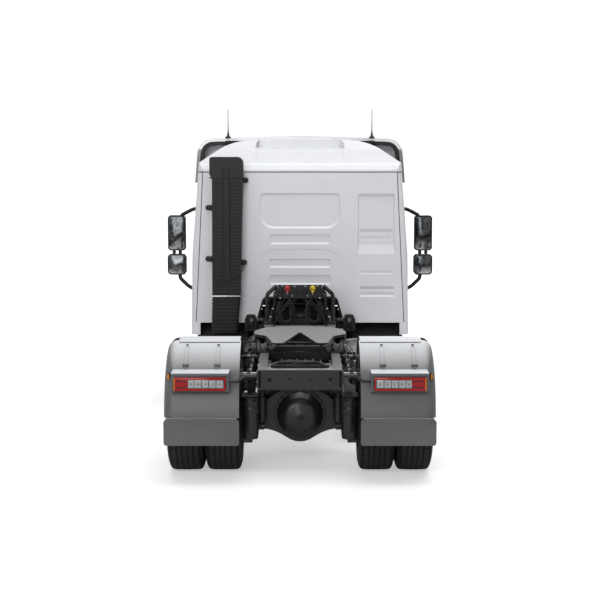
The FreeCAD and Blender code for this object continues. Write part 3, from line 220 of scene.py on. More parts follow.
def newFinish(name, spec):
    # one finish from its dictionary: colour, roughness, metal, coat, grain, road film with painted top light, painted
    # shade in tyre grooves and edge wear
    finish, tree, shader, vector = newMaterial(name)
    patches = addNoise(tree, vector, spec.get("patchScale", 4), 4, 0.6, spec.get("stretch"))
    tone = spec.get("tone", 0.06)
    darker = tuple(part * (1 - tone) for part in spec["colour"])
    lighter = tuple(min(1, part * (1 + tone)) for part in spec["colour"])
    colour = mixColour(tree, mapRange(tree, patches, 0.3, 0.7), darker, lighter)
    if "inside" in spec:
        colour = lineInside(tree, vector, colour, spec["inside"])
    # painted shade in the tyre grooves
    if "grooveShade" in spec:
        colour = paintGrooveShade(tree, vector, colour, spec["grooveShade"])
    if "under" in spec:
        # only what faces straight up is rubbed bright
        facing = splitAxes(tree, normalOf(tree))["Z"]
        colour = mixColour(tree, mapRange(tree, facing, 0.9, 0.985), spec["under"], colour)
    if "wear" in spec:
        colour = placeGroup(tree, edgeWear, Vector=vector, Clean=colour, Amount=spec["wear"],
            Worn=spec.get("wornColour", (0.26, 0.21, 0.17)), Width=0.004)["Colour"]
    film = placeGroup(tree, roadFilm, Vector=vector, Clean=colour, Amount=spec.get("film", 0.2),
        Streaks=spec.get("streaks", 0), Film=spec.get("filmAndTopLightColour", (0.3, 0.28, 0.25)), Low=spec.get("filmLow", 0.2),
        High=spec.get("filmHigh", 1.5), Settled=spec.get("topLight", 0))
    grain = placeGroup(tree, surfaceGrain, Vector=vector, Scale=spec.get("grainScale", 500),
        Strength=spec.get("grain", 0.08), Waves=spec.get("waves", 0))
    rough = spec["rough"]
    spread = spec.get("roughSpread", 0.06)
    rough = mapRange(tree, grain["Mask"], 0.25, 0.75, rough - spread, rough + spread)
    rough = plus(tree, rough, times(tree, film["Mask"], 0.3), clamp=True)
    setShader(tree, shader, film["Colour"], rough, spec.get("metal", 0), **{"Coat Weight": spec.get("coat", 0),
        "Coat Roughness": 0.08, "Specular IOR Level": spec.get("specular", 0.5), "Normal": grain["Normal"]})
    return finish


finishSpecs = {"cabWhite": dict(colour=(0.735, 0.745, 0.775), rough=0.34, coat=0.5, grain=0.02, grainScale=900,
        waves=0.3, film=0.16, streaks=0.05, tone=0.02, filmHigh=1.35, inside=(0.2, 0.2, 0.195)),
    "chassisPaint": dict(colour=(0.0085, 0.0088, 0.0095), rough=0.36, coat=0.12, grain=0.06, film=0.1, wear=0.25,
        filmAndTopLightColour=(0.1, 0.09, 0.08), filmHigh=1.2, tone=0.25, topLight=0, specular=0.3),
    # the mudguards' film colour is near white and their top light is full: painted overhead light on the guard's
    # upper curve
    "guardGrey": dict(colour=(0.086, 0.09, 0.094), rough=0.38, grain=0.12, grainScale=650, film=0.1,
        filmAndTopLightColour=(0.73, 0.745, 0.765), tone=0.06, filmHigh=1.3, topLight=1, specular=0.35),
    "trimBlack": dict(colour=(0.0105, 0.0105, 0.011), rough=0.5, grain=0.14, grainScale=700, film=0.06,
        filmAndTopLightColour=(0.12, 0.115, 0.11), tone=0.15, specular=0.28),
    # the rails' top light paints their upper faces lighter, as painted light from above
    "railPaint": dict(colour=(0.01, 0.0103, 0.011), rough=0.36, coat=0.12, grain=0.06, film=0.1, wear=0.4,
        filmAndTopLightColour=(0.17, 0.17, 0.17), filmHigh=1.2, tone=0.25, topLight=0.75, specular=0.3),
    "plateTop": dict(colour=(0.235, 0.232, 0.228), under=(0.012, 0.0118, 0.0115), rough=0.42, metal=0.5, grain=0.16,
        grainScale=260, film=0.06, tone=0.16, stretch=(1, 5, 1), patchScale=9, wear=0.35,
        wornColour=(0.4, 0.39, 0.38), specular=0.35),
    "wornSteel": dict(colour=(0.22, 0.215, 0.21), rough=0.42, metal=0.55, grain=0.1, film=0.08,
        filmAndTopLightColour=(0.1, 0.08, 0.06), tone=0.2, patchScale=9),
    "engineIron": dict(colour=(0.016, 0.0165, 0.017), rough=0.6, metal=0.4, grain=0.3, grainScale=260, film=0.08,
        tone=0.2, filmAndTopLightColour=(0.1, 0.09, 0.08), specular=0.3),
    "tankMetal": dict(colour=(0.5, 0.51, 0.52), rough=0.33, metal=0.95, grain=0.05, film=0.14, stretch=(1, 0.05, 1),
        patchScale=60, tone=0.12),
    # the tyre's groove shade is painted shade on the groove floors
    "tyreRubber": dict(colour=(0.021, 0.0208, 0.0205), grooveShade=(0.002, 0.002, 0.002), rough=0.72, grain=0.22,
        grainScale=320, film=0.12, filmAndTopLightColour=(0.085, 0.08, 0.075), filmLow=-0.1, filmHigh=1.3, tone=0.2,
        specular=0.18),
    "wheelPaint": dict(colour=(0.36, 0.37, 0.38), rough=0.4, grain=0.05, film=0.35, wear=0.3,
        filmAndTopLightColour=(0.2, 0.17, 0.14), tone=0.08, metal=0.2),
    "hoseBlack": dict(colour=(0.006, 0.006, 0.0065), rough=0.32, grain=0.05, film=0.04, tone=0.1, specular=0.3),
    "greasySteel": dict(colour=(0.009, 0.0088, 0.0085), rough=0.42, metal=0.3, grain=0.25, grainScale=220, film=0.12,
        filmAndTopLightColour=(0.09, 0.075, 0.06), tone=0.35, patchScale=14, specular=0.3),
    "paleZinc": dict(colour=(0.55, 0.54, 0.5), rough=0.32, metal=0.8, grain=0.05, film=0.1,
        filmAndTopLightColour=(0.2, 0.17, 0.13), tone=0.15, patchScale=30),
    "lampChrome": dict(colour=(0.72, 0.73, 0.74), rough=0.1, metal=1, grain=0.02, film=0, tone=0.03,
        roughSpread=0.03),
    "sealGrey": dict(colour=(0.03, 0.031, 0.033), rough=0.6, grain=0.1, film=0.1, specular=0.2),
    "reflectorGrey": dict(colour=(0.2, 0.19, 0.19), rough=0.25, metal=0.6, grain=0.02, film=0.05),
    "couplingRed": dict(colour=(0.52, 0.02, 0.018), rough=0.38, grain=0.05, film=0.12, wear=0.5,
        wornColour=(0.45, 0.43, 0.4), tone=0.1),
    "couplingYellow": dict(colour=(0.78, 0.58, 0.015), rough=0.38, grain=0.05, film=0.12, wear=0.5,
        wornColour=(0.45, 0.43, 0.4), tone=0.1),
    "dashGrey": dict(colour=(0.07, 0.07, 0.075), rough=0.62, grain=0.25, grainScale=800, film=0, tone=0.06),
    "clothGrey": dict(colour=(0.06, 0.06, 0.065), rough=0.9, grain=0.5, grainScale=900, film=0, tone=0.15),
    "zincBolt": dict(colour=(0.2, 0.195, 0.185), rough=0.42, metal=0.85, grain=0.05, film=0.2,
        filmAndTopLightColour=(0.12, 0.1, 0.08), tone=0.2, patchScale=30),}
finishes = {name: newFinish(name, spec) for name, spec in finishSpecs.items()}


def newGlass(name, tint, rough, clear, specular=0.5):
    glass, tree, shader, vector = newMaterial(name)
    film = placeGroup(tree, roadFilm, Vector=vector, Clean=tint, Amount=0.12, Streaks=0.02, Film=(0.4, 0.38, 0.35),
        Low=0.3, High=2.2)
    haze = plus(tree, times(tree, film["Mask"], 0.4), rough, clamp=True)
    setShader(tree, shader, film["Colour"], haze, **{"Transmission Weight": clear, "IOR": 1.45,
        "Specular IOR Level": specular})
    finishes[name] = glass


def newMirror(name):
    # silvered glass with rain marks and fine dust; its colour is dark and mottled as painted reflection of the
    # surroundings, and a light smear low down is painted bright reflection
    mirror, tree, shader, vector = newMaterial(name)
    patches = mapRange(tree, addNoise(tree, vector, 5.5, 3, 0.5, (1, 1, 0.7)), 0.42, 0.62)
    fine = mapRange(tree, addNoise(tree, vector, 34, 4, 0.7), 0.45, 0.75)
    # the dark mottled colour is painted reflection of the surroundings
    colour = mixColour(tree, patches, (0.028, 0.03, 0.032), (0.06, 0.062, 0.065))
    # a light smear along the foot of each of the two glasses: painted bright reflection
    height = splitAxes(tree, vector)["Z"]
    main = times(tree, mapRange(tree, height, 1.85, 1.7), mapRange(tree, height, 1.66, 1.69))
    foot = addMath(tree, "MAXIMUM", main, mapRange(tree, height, 1.5, 1.4))
    paintedGlare = times(tree, foot, mapRange(tree, addNoise(tree, vector, 9, 2, 0.5), 0.38, 0.52))
    dustAndGlare = addMath(tree, "MAXIMUM", times(tree, fine, 0.2), paintedGlare)
    setShader(tree, shader, mixColour(tree, dustAndGlare, colour, (0.42, 0.43, 0.44)), mapRange(tree, fine, 0, 1, 0.04, 0.22),
        1)
    finishes[name] = mirror


newGlass("windowGlass", (0.42, 0.5, 0.49), 0.02, 0.95)
newMirror("mirrorGlass")
newGlass("lampRed", (0.3, 0.004, 0.006), 0.16, 0, 0.25)
newGlass("lampClear", (0.72, 0.74, 0.76), 0.06, 0.55)
newGlass("clearCover", (0.86, 0.88, 0.89), 0.02, 1)
newGlass("lampAmber", (0.8, 0.25, 0.015), 0.16, 0, 0.25)
print("finishes made", len(finishes))


# modelling helpers

def dropSelection():
    if bpy.context.object and bpy.context.object.mode != "OBJECT":
        bpy.ops.object.mode_set(mode="OBJECT")
    bpy.ops.object.select_all(action="DESELECT")


def pickOnly(piece):
    dropSelection()
    piece.select_set(True)
    bpy.context.view_layer.objects.active = piece


def bakePlace(piece):
    pickOnly(piece)
    bpy.ops.object.transform_apply(location=True, rotation=True, scale=True)
    return piece


def keepAs(piece, holder):
    # the holder is the piece's name, or the list of parts that takes it
    if isinstance(holder, list):
        holder.append(piece)
    else:
        piece.name = holder
    return piece


def useModifier(piece, kind, **settings):
    pickOnly(piece)
    modifier = piece.modifiers.new(kind.title(), kind)
    for label, value in settings.items():
        setattr(modifier, label, value)
    bpy.ops.object.modifier_apply(modifier=modifier.name)
    return piece


def easeEdges(piece, width, segments=2, angle=35):
    if width:
        useModifier(piece, "BEVEL", width=width, segments=segments, limit_method="ANGLE",
            angle_limit=math.radians(angle), harden_normals=False)
    return piece


def addBlock(holder, low, high, ease=0, segments=2):
    dropSelection()
    bpy.ops.mesh.primitive_cube_add(size=1, location=[(a + b) / 2 for a, b in zip(low, high)], scale=[b - a for a,
        b in zip(low, high)])
    return keepAs(easeEdges(bakePlace(bpy.context.object), ease, segments), holder)


def addDrum(holder, start, end, radius, sides=24, ease=0):
    # a round bar between two points
    along = Vector(end) - Vector(start)
    dropSelection()
    bpy.ops.mesh.primitive_cone_add(vertices=sides, radius1=radius, radius2=radius, depth=along.length,
        location=(Vector(start) + Vector(end)) / 2, rotation=along.to_track_quat("Z", "Y").to_euler())
    return keepAs(easeEdges(bakePlace(bpy.context.object), ease, 2, 40), holder)


def editMesh(piece):
    pickOnly(piece)
    bpy.ops.object.mode_set(mode="EDIT")


def leaveEdit():
    bpy.ops.object.mode_set(mode="OBJECT")


def pickAll():
    bpy.ops.mesh.select_all(action="SELECT")


def pickSome(piece, level, chosen):
    # select the faces or points that the test chooses
    bpy.ops.mesh.select_mode(type=level)
    bpy.ops.mesh.select_all(action="DESELECT")
    mesh = bmesh.from_edit_mesh(piece.data)
    for item in chosen(mesh):
        item.select_set(True)
    mesh.select_flush_mode()
    bmesh.update_edit_mesh(piece.data)


def pickFaces(piece, test):
    # the test is given each face's middle and normal
    pickSome(piece, "FACE", lambda mesh: [face for face in mesh.faces
        if test(face.calc_center_median(), face.normal)])


def pickPoints(piece, test):
    pickSome(piece, "VERT", lambda mesh: [point for point in mesh.verts if test(point.co)])


def insetExtrude(piece, test, inset, depth):
    # draw the picked faces in, then push them along their normal
    editMesh(piece)
    pickFaces(piece, test)
    if inset:
        bpy.ops.mesh.inset(thickness=inset, depth=0, use_individual=False)
    if depth:
        bpy.ops.mesh.extrude_region_shrink_fatten(TRANSFORM_OT_shrink_fatten={"value": depth})
    leaveEdit()
    return piece


def startLine(places):
    # a plane drawn together to one point, then extruded along an outline; the mesh stays open for editing
    places = [Vector(place) for place in places]
    dropSelection()
    bpy.ops.mesh.primitive_plane_add(size=0.1, location=(0, 0, 0))
    piece = bpy.context.object
    editMesh(piece)
    bpy.ops.mesh.select_mode(type="VERT")
    pickAll()
    bpy.ops.mesh.merge(type="CENTER")
    bpy.ops.transform.translate(value=places[0])
    for before, here in zip(places, places[1:]):
        extrudeBy(here - before)
    return piece


def extrudeBy(step):
    bpy.ops.mesh.extrude_region_move(TRANSFORM_OT_translate={"value": step})


def mendMesh(threshold=None):
    # weld what meets and turn all faces outwards
    pickAll()
    if threshold:
        bpy.ops.mesh.remove_doubles(threshold=threshold)
    bpy.ops.mesh.normals_make_consistent(inside=False)
    leaveEdit()


def addSlab(holder, points, along, ease=0, segments=2):
    # an outline pushed along a direction into a closed block
    piece = startLine(points)
    pickAll()
    bpy.ops.mesh.edge_face_add()
    pickAll()
    extrudeBy(along)
    mendMesh()
    return keepAs(easeEdges(piece, ease, segments), holder)


def closeLoop(piece):
    # bridge the two loose ends of an open outline with an edge
    pickSome(piece, "VERT", lambda mesh: [point for point in mesh.verts if len(point.link_edges) == 1])
    bpy.ops.mesh.edge_face_add()


def addTurned(holder, profile, centre, axis="X", steps=48, closed=False):
    # a profile of (along, radius) points in millimetres, spun about an axis through the centre
    line = Vector([float(axis == letter) for letter in "XYZ"])
    across = Vector((1, 0, 0)) if axis == "Z" else Vector((0, 0, 1))
    centre = Vector(centre)
    piece = startLine([centre + line * (along / 1000) + across * (radius / 1000) for along, radius in profile])
    if closed:
        closeLoop(piece)
    pickAll()
    bpy.ops.mesh.spin(steps=steps, angle=math.tau, center=centre, axis=line)
    mendMesh(0.00005)
    return keepAs(piece, holder)


def addRing(holder, half, inner, outer, centre, axis, steps):
    # a plain collar, in millimetres: half its length and its two radii
    profile = [(-half, inner), (-half, outer), (half, outer), (half, inner)]
    return addTurned(holder, profile, centre, axis, steps, closed=True)


def newSpline(points, order, resolution):
    # an object with one smooth spline through its control points
    line = bpy.data.curves.new("route", "CURVE")
    line.dimensions = "3D"
    spline = line.splines.new("NURBS")
    spline.points.add(len(points) - 1)
    for point, place in zip(spline.points, points):
        point.co = (*place, 1)
    spline.order_u = min(order, len(points))
    spline.use_endpoint_u = True
    spline.resolution_u = resolution
    route = bpy.data.objects.new("route", line)
    bpy.context.scene.collection.objects.link(route)
    return route


def addHose(holder, points, radius, sides=10, order=3, resolution=6):
    hose = newSpline(points, order, resolution)
    hose.data.bevel_depth = radius
    hose.data.bevel_resolution = max(0, (sides - 4) // 2)
    hose.data.use_fill_caps = True
    pickOnly(hose)
    bpy.ops.object.convert(target="MESH")
    return keepAs(bpy.context.object, holder)


def flipPiece(piece):
    piece.data.transform(Matrix.Scale(-1, 4, (1, 0, 0)))
    piece.data.flip_normals()


def flipped(parts):
    for part in parts:
        flipPiece(part)
    return parts


def turnPiece(piece, degrees, axis, about=(0, 0, 0), shift=(0, 0, 0)):
    # turn about a place, then move
    turn = Matrix.Rotation(math.radians(degrees), 4, axis)
    about = Vector(about)
    piece.data.transform(Matrix.Translation(about + Vector(shift)) @ turn @ Matrix.Translation(-about))
    return piece


def movePiece(piece, shift):
    piece.data.transform(Matrix.Translation(shift))
    return piece


def copyPiece(piece, name, shift=(0, 0, 0), mirror=False):
    # a copy with its own mesh
    twin = piece.copy()
    twin.data = piece.data.copy()
    twin.name = name
    bpy.context.scene.collection.objects.link(twin)
    movePiece(twin, shift)
    if mirror:
        flipPiece(twin)
    return twin


def mirrored(parts):
    # the same parts again, on the other side
    return [copyPiece(part, part.name, mirror=True) for part in parts]


def joinPieces(name, parts):
    if len(parts) > 1:
        dropSelection()
        for part in parts:
            part.select_set(True)
        bpy.context.view_layer.objects.active = parts[0]
        bpy.ops.object.join()
    parts[0].name = name
    return parts[0]


def repeatPiece(name, source, places):
    # copies of one model at many places, joined
    piece = joinPieces(name, [copyPiece(source, name + "Part", shift=place) for place in places])
    bpy.data.objects.remove(source)
    return piece


def donePiece(piece, finish, body, smooth=32, replaces=()):
    bakePlace(piece)
    bpy.ops.object.shade_smooth_by_angle(angle=math.radians(smooth))
    piece.data.materials.clear()
    piece.data.materials.append(finishes[finish])
    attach(piece, body)
    for node in replaces:
        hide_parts(node)
    return piece


def finishParts(name, parts, finish, body, smooth=32, replaces=()):
    return donePiece(joinPieces(name, parts), finish, body, smooth, replaces)


def bothSides(piece, name, finish, body):
    # finish a piece, or a list of parts, on one side and its mirror copy on the other
    if isinstance(piece, list):
        piece = joinPieces(name, piece)
    left = sum(vertex.co.x for vertex in piece.data.vertices) < 0
    other = copyPiece(piece, name + ("Right" if left else "Left"), mirror=True)
    piece.name = name + ("Left" if left else "Right")
    donePiece(piece, finish, body)
    donePiece(other, finish, body)


def addBolt(holder, radius, height, axis="Y"):
    # hexagon head on a washer, standing on the origin and pointing along -Y, X or Z
    washer = addDrum("washer", (0, 0, 0), (0, 0, height * 0.22), radius * 1.45, 16)
    head = addDrum("head", (0, 0, height * 0.2), (0, 0, height), radius, 6)
    insetExtrude(head, lambda middle, normal: normal.z > 0.9, radius * 0.18, 0)
    bolt = joinPieces("bolt", [washer, head])
    if axis != "Z":
        turnPiece(bolt, 90, "X" if axis == "Y" else "Y")
    return keepAs(bolt, holder)


def roundRow(low, high, radius, steps=4):
    # corner points of a rounded rectangle, from its low corner round to its left side
    (a0, b0), (a1, b1) = low, high
    row = []
    for ca, cb, start in ((a1 - radius, b0 + radius, -90), (a1 - radius, b1 - radius, 0),
            (a0 + radius, b1 - radius, 90), (a0 + radius, b0 + radius, 180)):
        for step in range(steps + 1):
            turn = math.radians(start + 90 * step / steps)
            row.append((ca + radius * math.cos(turn), cb + radius * math.sin(turn)))
    return row


def inPlane(axis, level, row):
    # pairs of coordinates lifted into space, with the third one along the axis at a level
    at = "XYZ".index(axis)
    return [(*pair[:at], level, *pair[at:]) for pair in row]


def roundedPlate(holder, low, high, radius, depth, axis="Y", ease=0, steps=4):
    # a rounded plate: low and high are its corners across the axis, depth its two faces along it
    row = inPlane(axis, depth[0], roundRow(low, high, radius, steps))
    return addSlab(holder, row, inPlane(axis, depth[1] - depth[0], [(0, 0)])[0], ease)


def ringSeam(holder, low, high, radius, y, reach=0.004, width=0.012, steps=6, ease=0.001, offset=1):
    # a flat band that follows a rounded outline
    row = inPlane("Y", y, roundRow(low, high, radius, steps))
    ring = startLine(row + row[:1])
    pickAll()
    extrudeBy((0, width, 0))
    mendMesh(0.0001)
    useModifier(ring, "SOLIDIFY", thickness=reach, offset=offset)
    return keepAs(easeEdges(ring, ease, 1), holder)


nodeFinish = {"cabWhite": ("cab_shell", "cab_roof", "left_door", "right_door", "front_panel", "sun_visor"),
    "railPaint": ("chassis_frame",),
    "chassisPaint": ("front_axle", "front_springs", "rear_axle", "rear_suspension", "drive_shaft", "lamp_brackets",
        "fifth_wheel_base", "coupling_rack", "cab_mounts", "left_knuckle", "right_knuckle", "tie_rod", "battery_box"),
    "guardGrey": ("rear_mudguards", "mud_flaps"),
    "trimBlack": ("front_bumper", "front_mudguards", "cab_steps", "intake_stack", "mirrors", "antennas"),
    "plateTop": ("fifth_wheel_plate",),
    "wornSteel": ("exhaust_silencer",),
    "engineIron": ("engine", "radiator"),
    "tankMetal": ("fuel_tank",),
    "tyreRubber": ("left_front_tyre", "right_front_tyre", "left_rear_tyres", "right_rear_tyres"),
    "wheelPaint": ("left_front_rim", "right_front_rim", "left_rear_rims", "right_rear_rims"),
    "windowGlass": ("windscreen", "left_door_glass", "right_door_glass"),
    "lampRed": ("tail_lamps",),
    "lampClear": ("headlamps",),
    "hoseBlack": ("left_air_line", "right_air_line"),
    "couplingRed": ("air_couplings",),
    "dashGrey": ("dashboard", "bunk"),
    "clothGrey": ("seats",)}
for finishName, nodeNames in nodeFinish.items():
    for nodeName in nodeNames:
        slots = nodes[nodeName].material_slots
        for materialSlot in slots:
            materialSlot.material = finishes[finishName]
        if not slots:
            nodes[nodeName].data.materials.append(finishes[finishName])


# tyres: one pitch of the tread is modelled, then turned round the wheel

tyreMake = {"radius": 0.54, "pitches": 80, "grooves": (-0.074, -0.025, 0.025, 0.074), "grooveTop": 0.0125,
    "grooveLow": 0.0055, "grooveDeep": 0.015, "zigzag": 0.0085, "sipe": 0.55, "sipeDeep": 0.008,
    "steerZigzag": 0.0012, "twins": (-0.1755, 0.1755)}
tyreSide = ((0.075, 0.287), (0.105, 0.287), (0.1055, 0.3015), (0.132, 0.303), (0.14, 0.308), (0.1425, 0.315),
    (0.158, 0.334), (0.16, 0.337), (0.1635, 0.345), (0.168, 0.375), (0.1695, 0.41), (0.168, 0.44), (0.1655, 0.463),
    (0.1668, 0.465), (0.1648, 0.47), (0.16, 0.489), (0.1545, 0.505), (0.148, 0.517), (0.14, 0.527), (0.129, 0.5335),
    (0.1215, 0.5362))
tyreInside = ((0.06, 0.3), (0.13, 0.33), (0.152, 0.41), (0.135, 0.495), (0.07, 0.512))


def makeTyre(name, zigzag):
    make = tyreMake
    radius, half, low = make["radius"], make["grooveTop"] / 2, make["grooveLow"] / 2
    profile = [(-x, r) for x, r in tyreSide]
    for groove in make["grooves"]:
        crown = radius - 0.0032 * (groove / 0.12) ** 2
        floor = crown - make["grooveDeep"]
        profile += [(groove - half, crown), (groove - low, floor), (groove + low, floor), (groove + half, crown)]
    profile += tyreSide[::-1]
    profile += tyreInside + tuple((-x, r) for x, r in tyreInside[::-1])
    piece = startLine([(x, 0, r) for x, r in profile])
    closeLoop(piece)
    pitch = 360 / make["pitches"]
    pickAll()
    for step in (make["sipe"], pitch / 2 - make["sipe"], pitch / 2):
        bpy.ops.mesh.spin(steps=1, angle=math.radians(step), center=(0, 0, 0), axis=(1, 0, 0))
    leaveEdit()

    def turnOf(place):
        return math.degrees(math.atan2(abs(place.y), place.z))

    def inGroove(place):
        return abs(place.x) < 0.09 and math.hypot(place.y, place.z) > 0.518

    for atPeak, shift in ((True, zigzag), (False, -zigzag)):
        editMesh(piece)
        pickPoints(piece, lambda place: inGroove(place) and (abs(turnOf(place) - pitch / 2) < 0.2) == atPeak)
        bpy.ops.transform.translate(value=(shift, 0, 0))
        leaveEdit()
    insetExtrude(piece, lambda middle, normal: turnOf(middle) < make["sipe"] and abs(middle.x) > 0.084
        and math.hypot(middle.y, middle.z) > 0.519, 0, -make["sipeDeep"])
    # five pitches, then doubled four times
    turn = pitch if max(vertex.co.y for vertex in piece.data.vertices) < 0.01 else -pitch
    piece = joinPieces(name, [piece] + [turnPiece(copyPiece(piece, "pitch"), turn * step, "X")
        for step in range(1, 5)])
    for count in (5, 10, 20, 40):
        piece = joinPieces(name, [piece, turnPiece(copyPiece(piece, "pitches"), turn * count, "X")])
    editMesh(piece)
    mendMesh(0.0003)
    return piece


def boxMiddle(name):
    low, high = (Vector(corner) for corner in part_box(name))
    return (low + high) / 2


def makeTyres():
    drive = makeTyre("driveTyre", tyreMake["zigzag"])
    steer = makeTyre("steerTyre", tyreMake["steerZigzag"])
    for side, sign in sides:
        tyre = copyPiece(steer, side + "SteerTyre", shift=boxMiddle(side + "_front_tyre"))
        donePiece(tyre, "tyreRubber", side + "_front_wheel", 35, (side + "_front_tyre",))
        middle = boxMiddle(side + "_rear_tyres")
        pair = [copyPiece(drive, "twin", shift=middle + Vector((step, 0, 0))) for step in tyreMake["twins"]]
        finishParts(side + "DriveTyres", pair, "tyreRubber", side + "_rear_wheels", 35, (side + "_rear_tyres",))
    bpy.data.objects.remove(drive)
    bpy.data.objects.remove(steer)


makeTyres()
print("tyres made")


# wheel nuts, hub covers, valves, and flange bolts on the rear hubs

wheelMake = {"nutCount": 10, "boltCount": 8, "boltCircle": 0.062, "front": {"body": "_front_wheel",
    "rim": "_front_rim", "hub": 1.02, "face": 0.128, "circle": 0.132, "cover": ((122, 98), (130, 98), (134, 90),
    (160, 88), (170, 80), (174, 60), (176, 0))}, "rear": {"body": "_rear_wheels", "rim": "_rear_rims", "hub": 0.8875,
    "face": 0.016, "circle": 0.1475, "cover": ((150, 104), (152, 112), (160, 112), (163, 106), (236, 86), (239, 78),
    (240, 0))}}


def ringPlaces(centre, radius, count, along=0, start=0):
    # places evenly round a wheel's axis
    turns = [math.tau * (step + start) / count for step in range(count)]
    return [centre + Vector((along, radius * math.sin(turn), radius * math.cos(turn))) for turn in turns]


def makeWheelFittings():
    for side, sign in sides:
        for axle in ("front", "rear"):
            make = wheelMake[axle]
            hub = Vector((make["hub"], boxMiddle(side + make["rim"]).y, 0.54))
            nut = addBolt("wheelNut", 0.0165, 0.03, "X")
            parts = [repeatPiece("wheelNuts", nut,
                ringPlaces(hub, make["circle"], wheelMake["nutCount"], make["face"]))]
            addTurned(parts, make["cover"], hub, "X", 40)
            if axle == "rear":
                bolt = addBolt("flangeBolt", 0.011, 0.012, "X")
                places = ringPlaces(hub, wheelMake["boltCircle"], wheelMake["boltCount"], 0.238, 0.5)
                parts.append(repeatPiece("flangeBolts", bolt, places))
            addHose(parts, [hub + Vector(p) for p in ((0.075, 0, 0.262), (0.098, 0, 0.256), (0.118, 0, 0.244))],
                0.004, 8)
            finishParts(side + axle.title() + "HubFittings", parts if sign > 0 else flipped(parts), "zincBolt", side
                + make["body"], 30)


makeWheelFittings()
print("wheel fittings made")


# tail lamps

lampMake = {"low": (0.662, -2.827, 0.874), "high": (1.141, -2.801, 1.008), "frame": 0.0045, "clearStart": 0.688,
    "clearEnd": 1.006, "amberStart": 1.127}


def lensBlock(low, high, inset, ease=0.0015):
    # a block whose face to the rear is domed
    block = addBlock("lens", low, high)
    insetExtrude(block, lambda middle, normal: normal.y < -0.9, inset, 0.003)
    return easeEdges(block, ease)


def makeTailLamps():
    make = lampMake
    x0, y0, z0 = make["low"]
    x1, y1, z1 = make["high"]
    edge = make["frame"]
    case = [addBlock("case", (x0, y0 + 0.009, z0), (x1, y1 - 0.0005, z1), 0.005)]
    rim = addBlock(case, (x0, y0 + 0.003, z0), (x1, y0 + 0.012, z1))
    easeEdges(insetExtrude(rim, lambda middle, normal: normal.y < -0.9, edge, -0.006), 0.002)
    bothSides(case, "tailLampCase", "trimBlack", "chassis")
    # red field with a domed face; the clear window and the amber end stand in it
    low, high, face = z0 + edge, z1 - edge, y0 + 0.0045
    red = lensBlock((x0 + edge, face, low), (make["amberStart"], y0 + 0.011, high), 0.006)
    bothSides(red, "tailLampRedLens", "lampRed", "chassis")
    start, end = make["clearStart"], make["clearEnd"]
    clear = [addBlock("clear", (start, face - 0.0042, low + 0.026), (end, face + 0.002, high - 0.026), 0.0025)]
    for row in range(14):
        x = start + 0.014 + row * 0.0222
        addDrum(clear, (x, face - 0.0042, low + 0.034), (x, face - 0.0042, high - 0.034), 0.0035, 8)
    bothSides(clear, "tailLampClearLens", "lampClear", "chassis")
    amber = lensBlock((make["amberStart"] + 0.001, face, low), (x1 - edge, y0 + 0.011, high), 0.004)
    bothSides(amber, "tailLampAmberLens", "lampAmber", "chassis")
    # round emitters, dark bars between them and the window's surround
    ring = addTurned("ring", [(0, 0.1), (-1.5, 6), (-1.5, 8.5), (1.5, 10.5), (3, 10.5)], (0, 0, 0), "Y", 16)
    outer = copyPiece(ring, "outer")
    dark = [repeatPiece("outerRings", outer, [(x, face - 0.0035, z) for x in (1.036, 1.066, 1.096)
        for z in (low + 0.034, high - 0.034)])]
    rings = repeatPiece("rings", ring, [(x, face - 0.0055, (low + high) / 2)
        for x in (0.72, 0.785, 0.85, 0.915, 0.975)])
    bothSides(rings, "tailLampEmitters", "reflectorGrey", "chassis")
    for x in (0.752, 0.818, 0.883, 0.946):
        addBlock(dark, (x, face - 0.0068, low + 0.03), (x + 0.006, face - 0.002, high - 0.03), 0.001, 1)
    roundedPlate(dark, (start - 0.006, low + 0.021), (end + 0.006, high - 0.021), 0.008, (face - 0.003, face + 0.001),
        "Y", 0.001, 3)
    bothSides(dark, "tailLampDarkParts", "trimBlack", "chassis")
    screw = addTurned("screw", [(0, 0.1), (-2, 3), (-2.2, 4.5), (1, 5.5)], (0, 0, 0), "Y", 10)
    screws = repeatPiece("screws", screw, [(x, y0 + 0.0035, z) for x in (x0 + 0.005, x1 - 0.005)
        for z in (z0 + 0.012, z1 - 0.012)])
    bothSides(screws, "tailLampScrews", "zincBolt", "chassis")
    for side in ("Left", "Right"):
        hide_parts("tail_lamps")


makeTailLamps()


# mudguard straps, side markers and flap fixings

guardMake = {"straps": (0.755, 1.045), "strapWidth": 0.036, "radius": 0.69, "strapStart": 47,
    "markerX": (1.188, 1.206), "markerZ": (0.955, 1.005), "markerLevel": 0.98}


def guardPoint(angle, lift=0):
    # a point on the guard's outside, in degrees up from straight behind the axle
    radius = guardMake["radius"] + lift
    return (-2.11 - radius * math.cos(math.radians(angle)), 0.565 + radius * math.sin(math.radians(angle)))


def makeStrapAt(x):
    # a flat band on the guard with a buckle at its lower end and a rivet at its top
    half = guardMake["strapWidth"] / 2
    angles = range(guardMake["strapStart"], guardMake["strapStart"] + 24, 3)
    band = startLine([(x - half, *guardPoint(angle, 0.0045)) for angle in angles])
    pickAll()
    extrudeBy((half * 2, 0, 0))
    leaveEdit()
    useModifier(band, "SOLIDIFY", thickness=0.004, offset=0)
    parts = [easeEdges(band, 0.001, 1)]
    y, z = guardPoint(angles[0] + 0.6, 0.008)
    addBlock(parts, (x - 0.029, y - 0.01, z - 0.02), (x + 0.029, y + 0.012, z + 0.006), 0.003)
    turnPiece(parts[-1], -36, "X", (0, y, z))
    for angle in (angles[-1] + 2, angles[0] - 2.2):
        rivet = addTurned(parts, [(0, 0.1), (-2, 8), (-4, 12), (-10, 13.5)], (0, -0.006, 0), "Y", 16)
        turnPiece(rivet, -angle, "X", shift=(x, *guardPoint(angle)))
    return parts


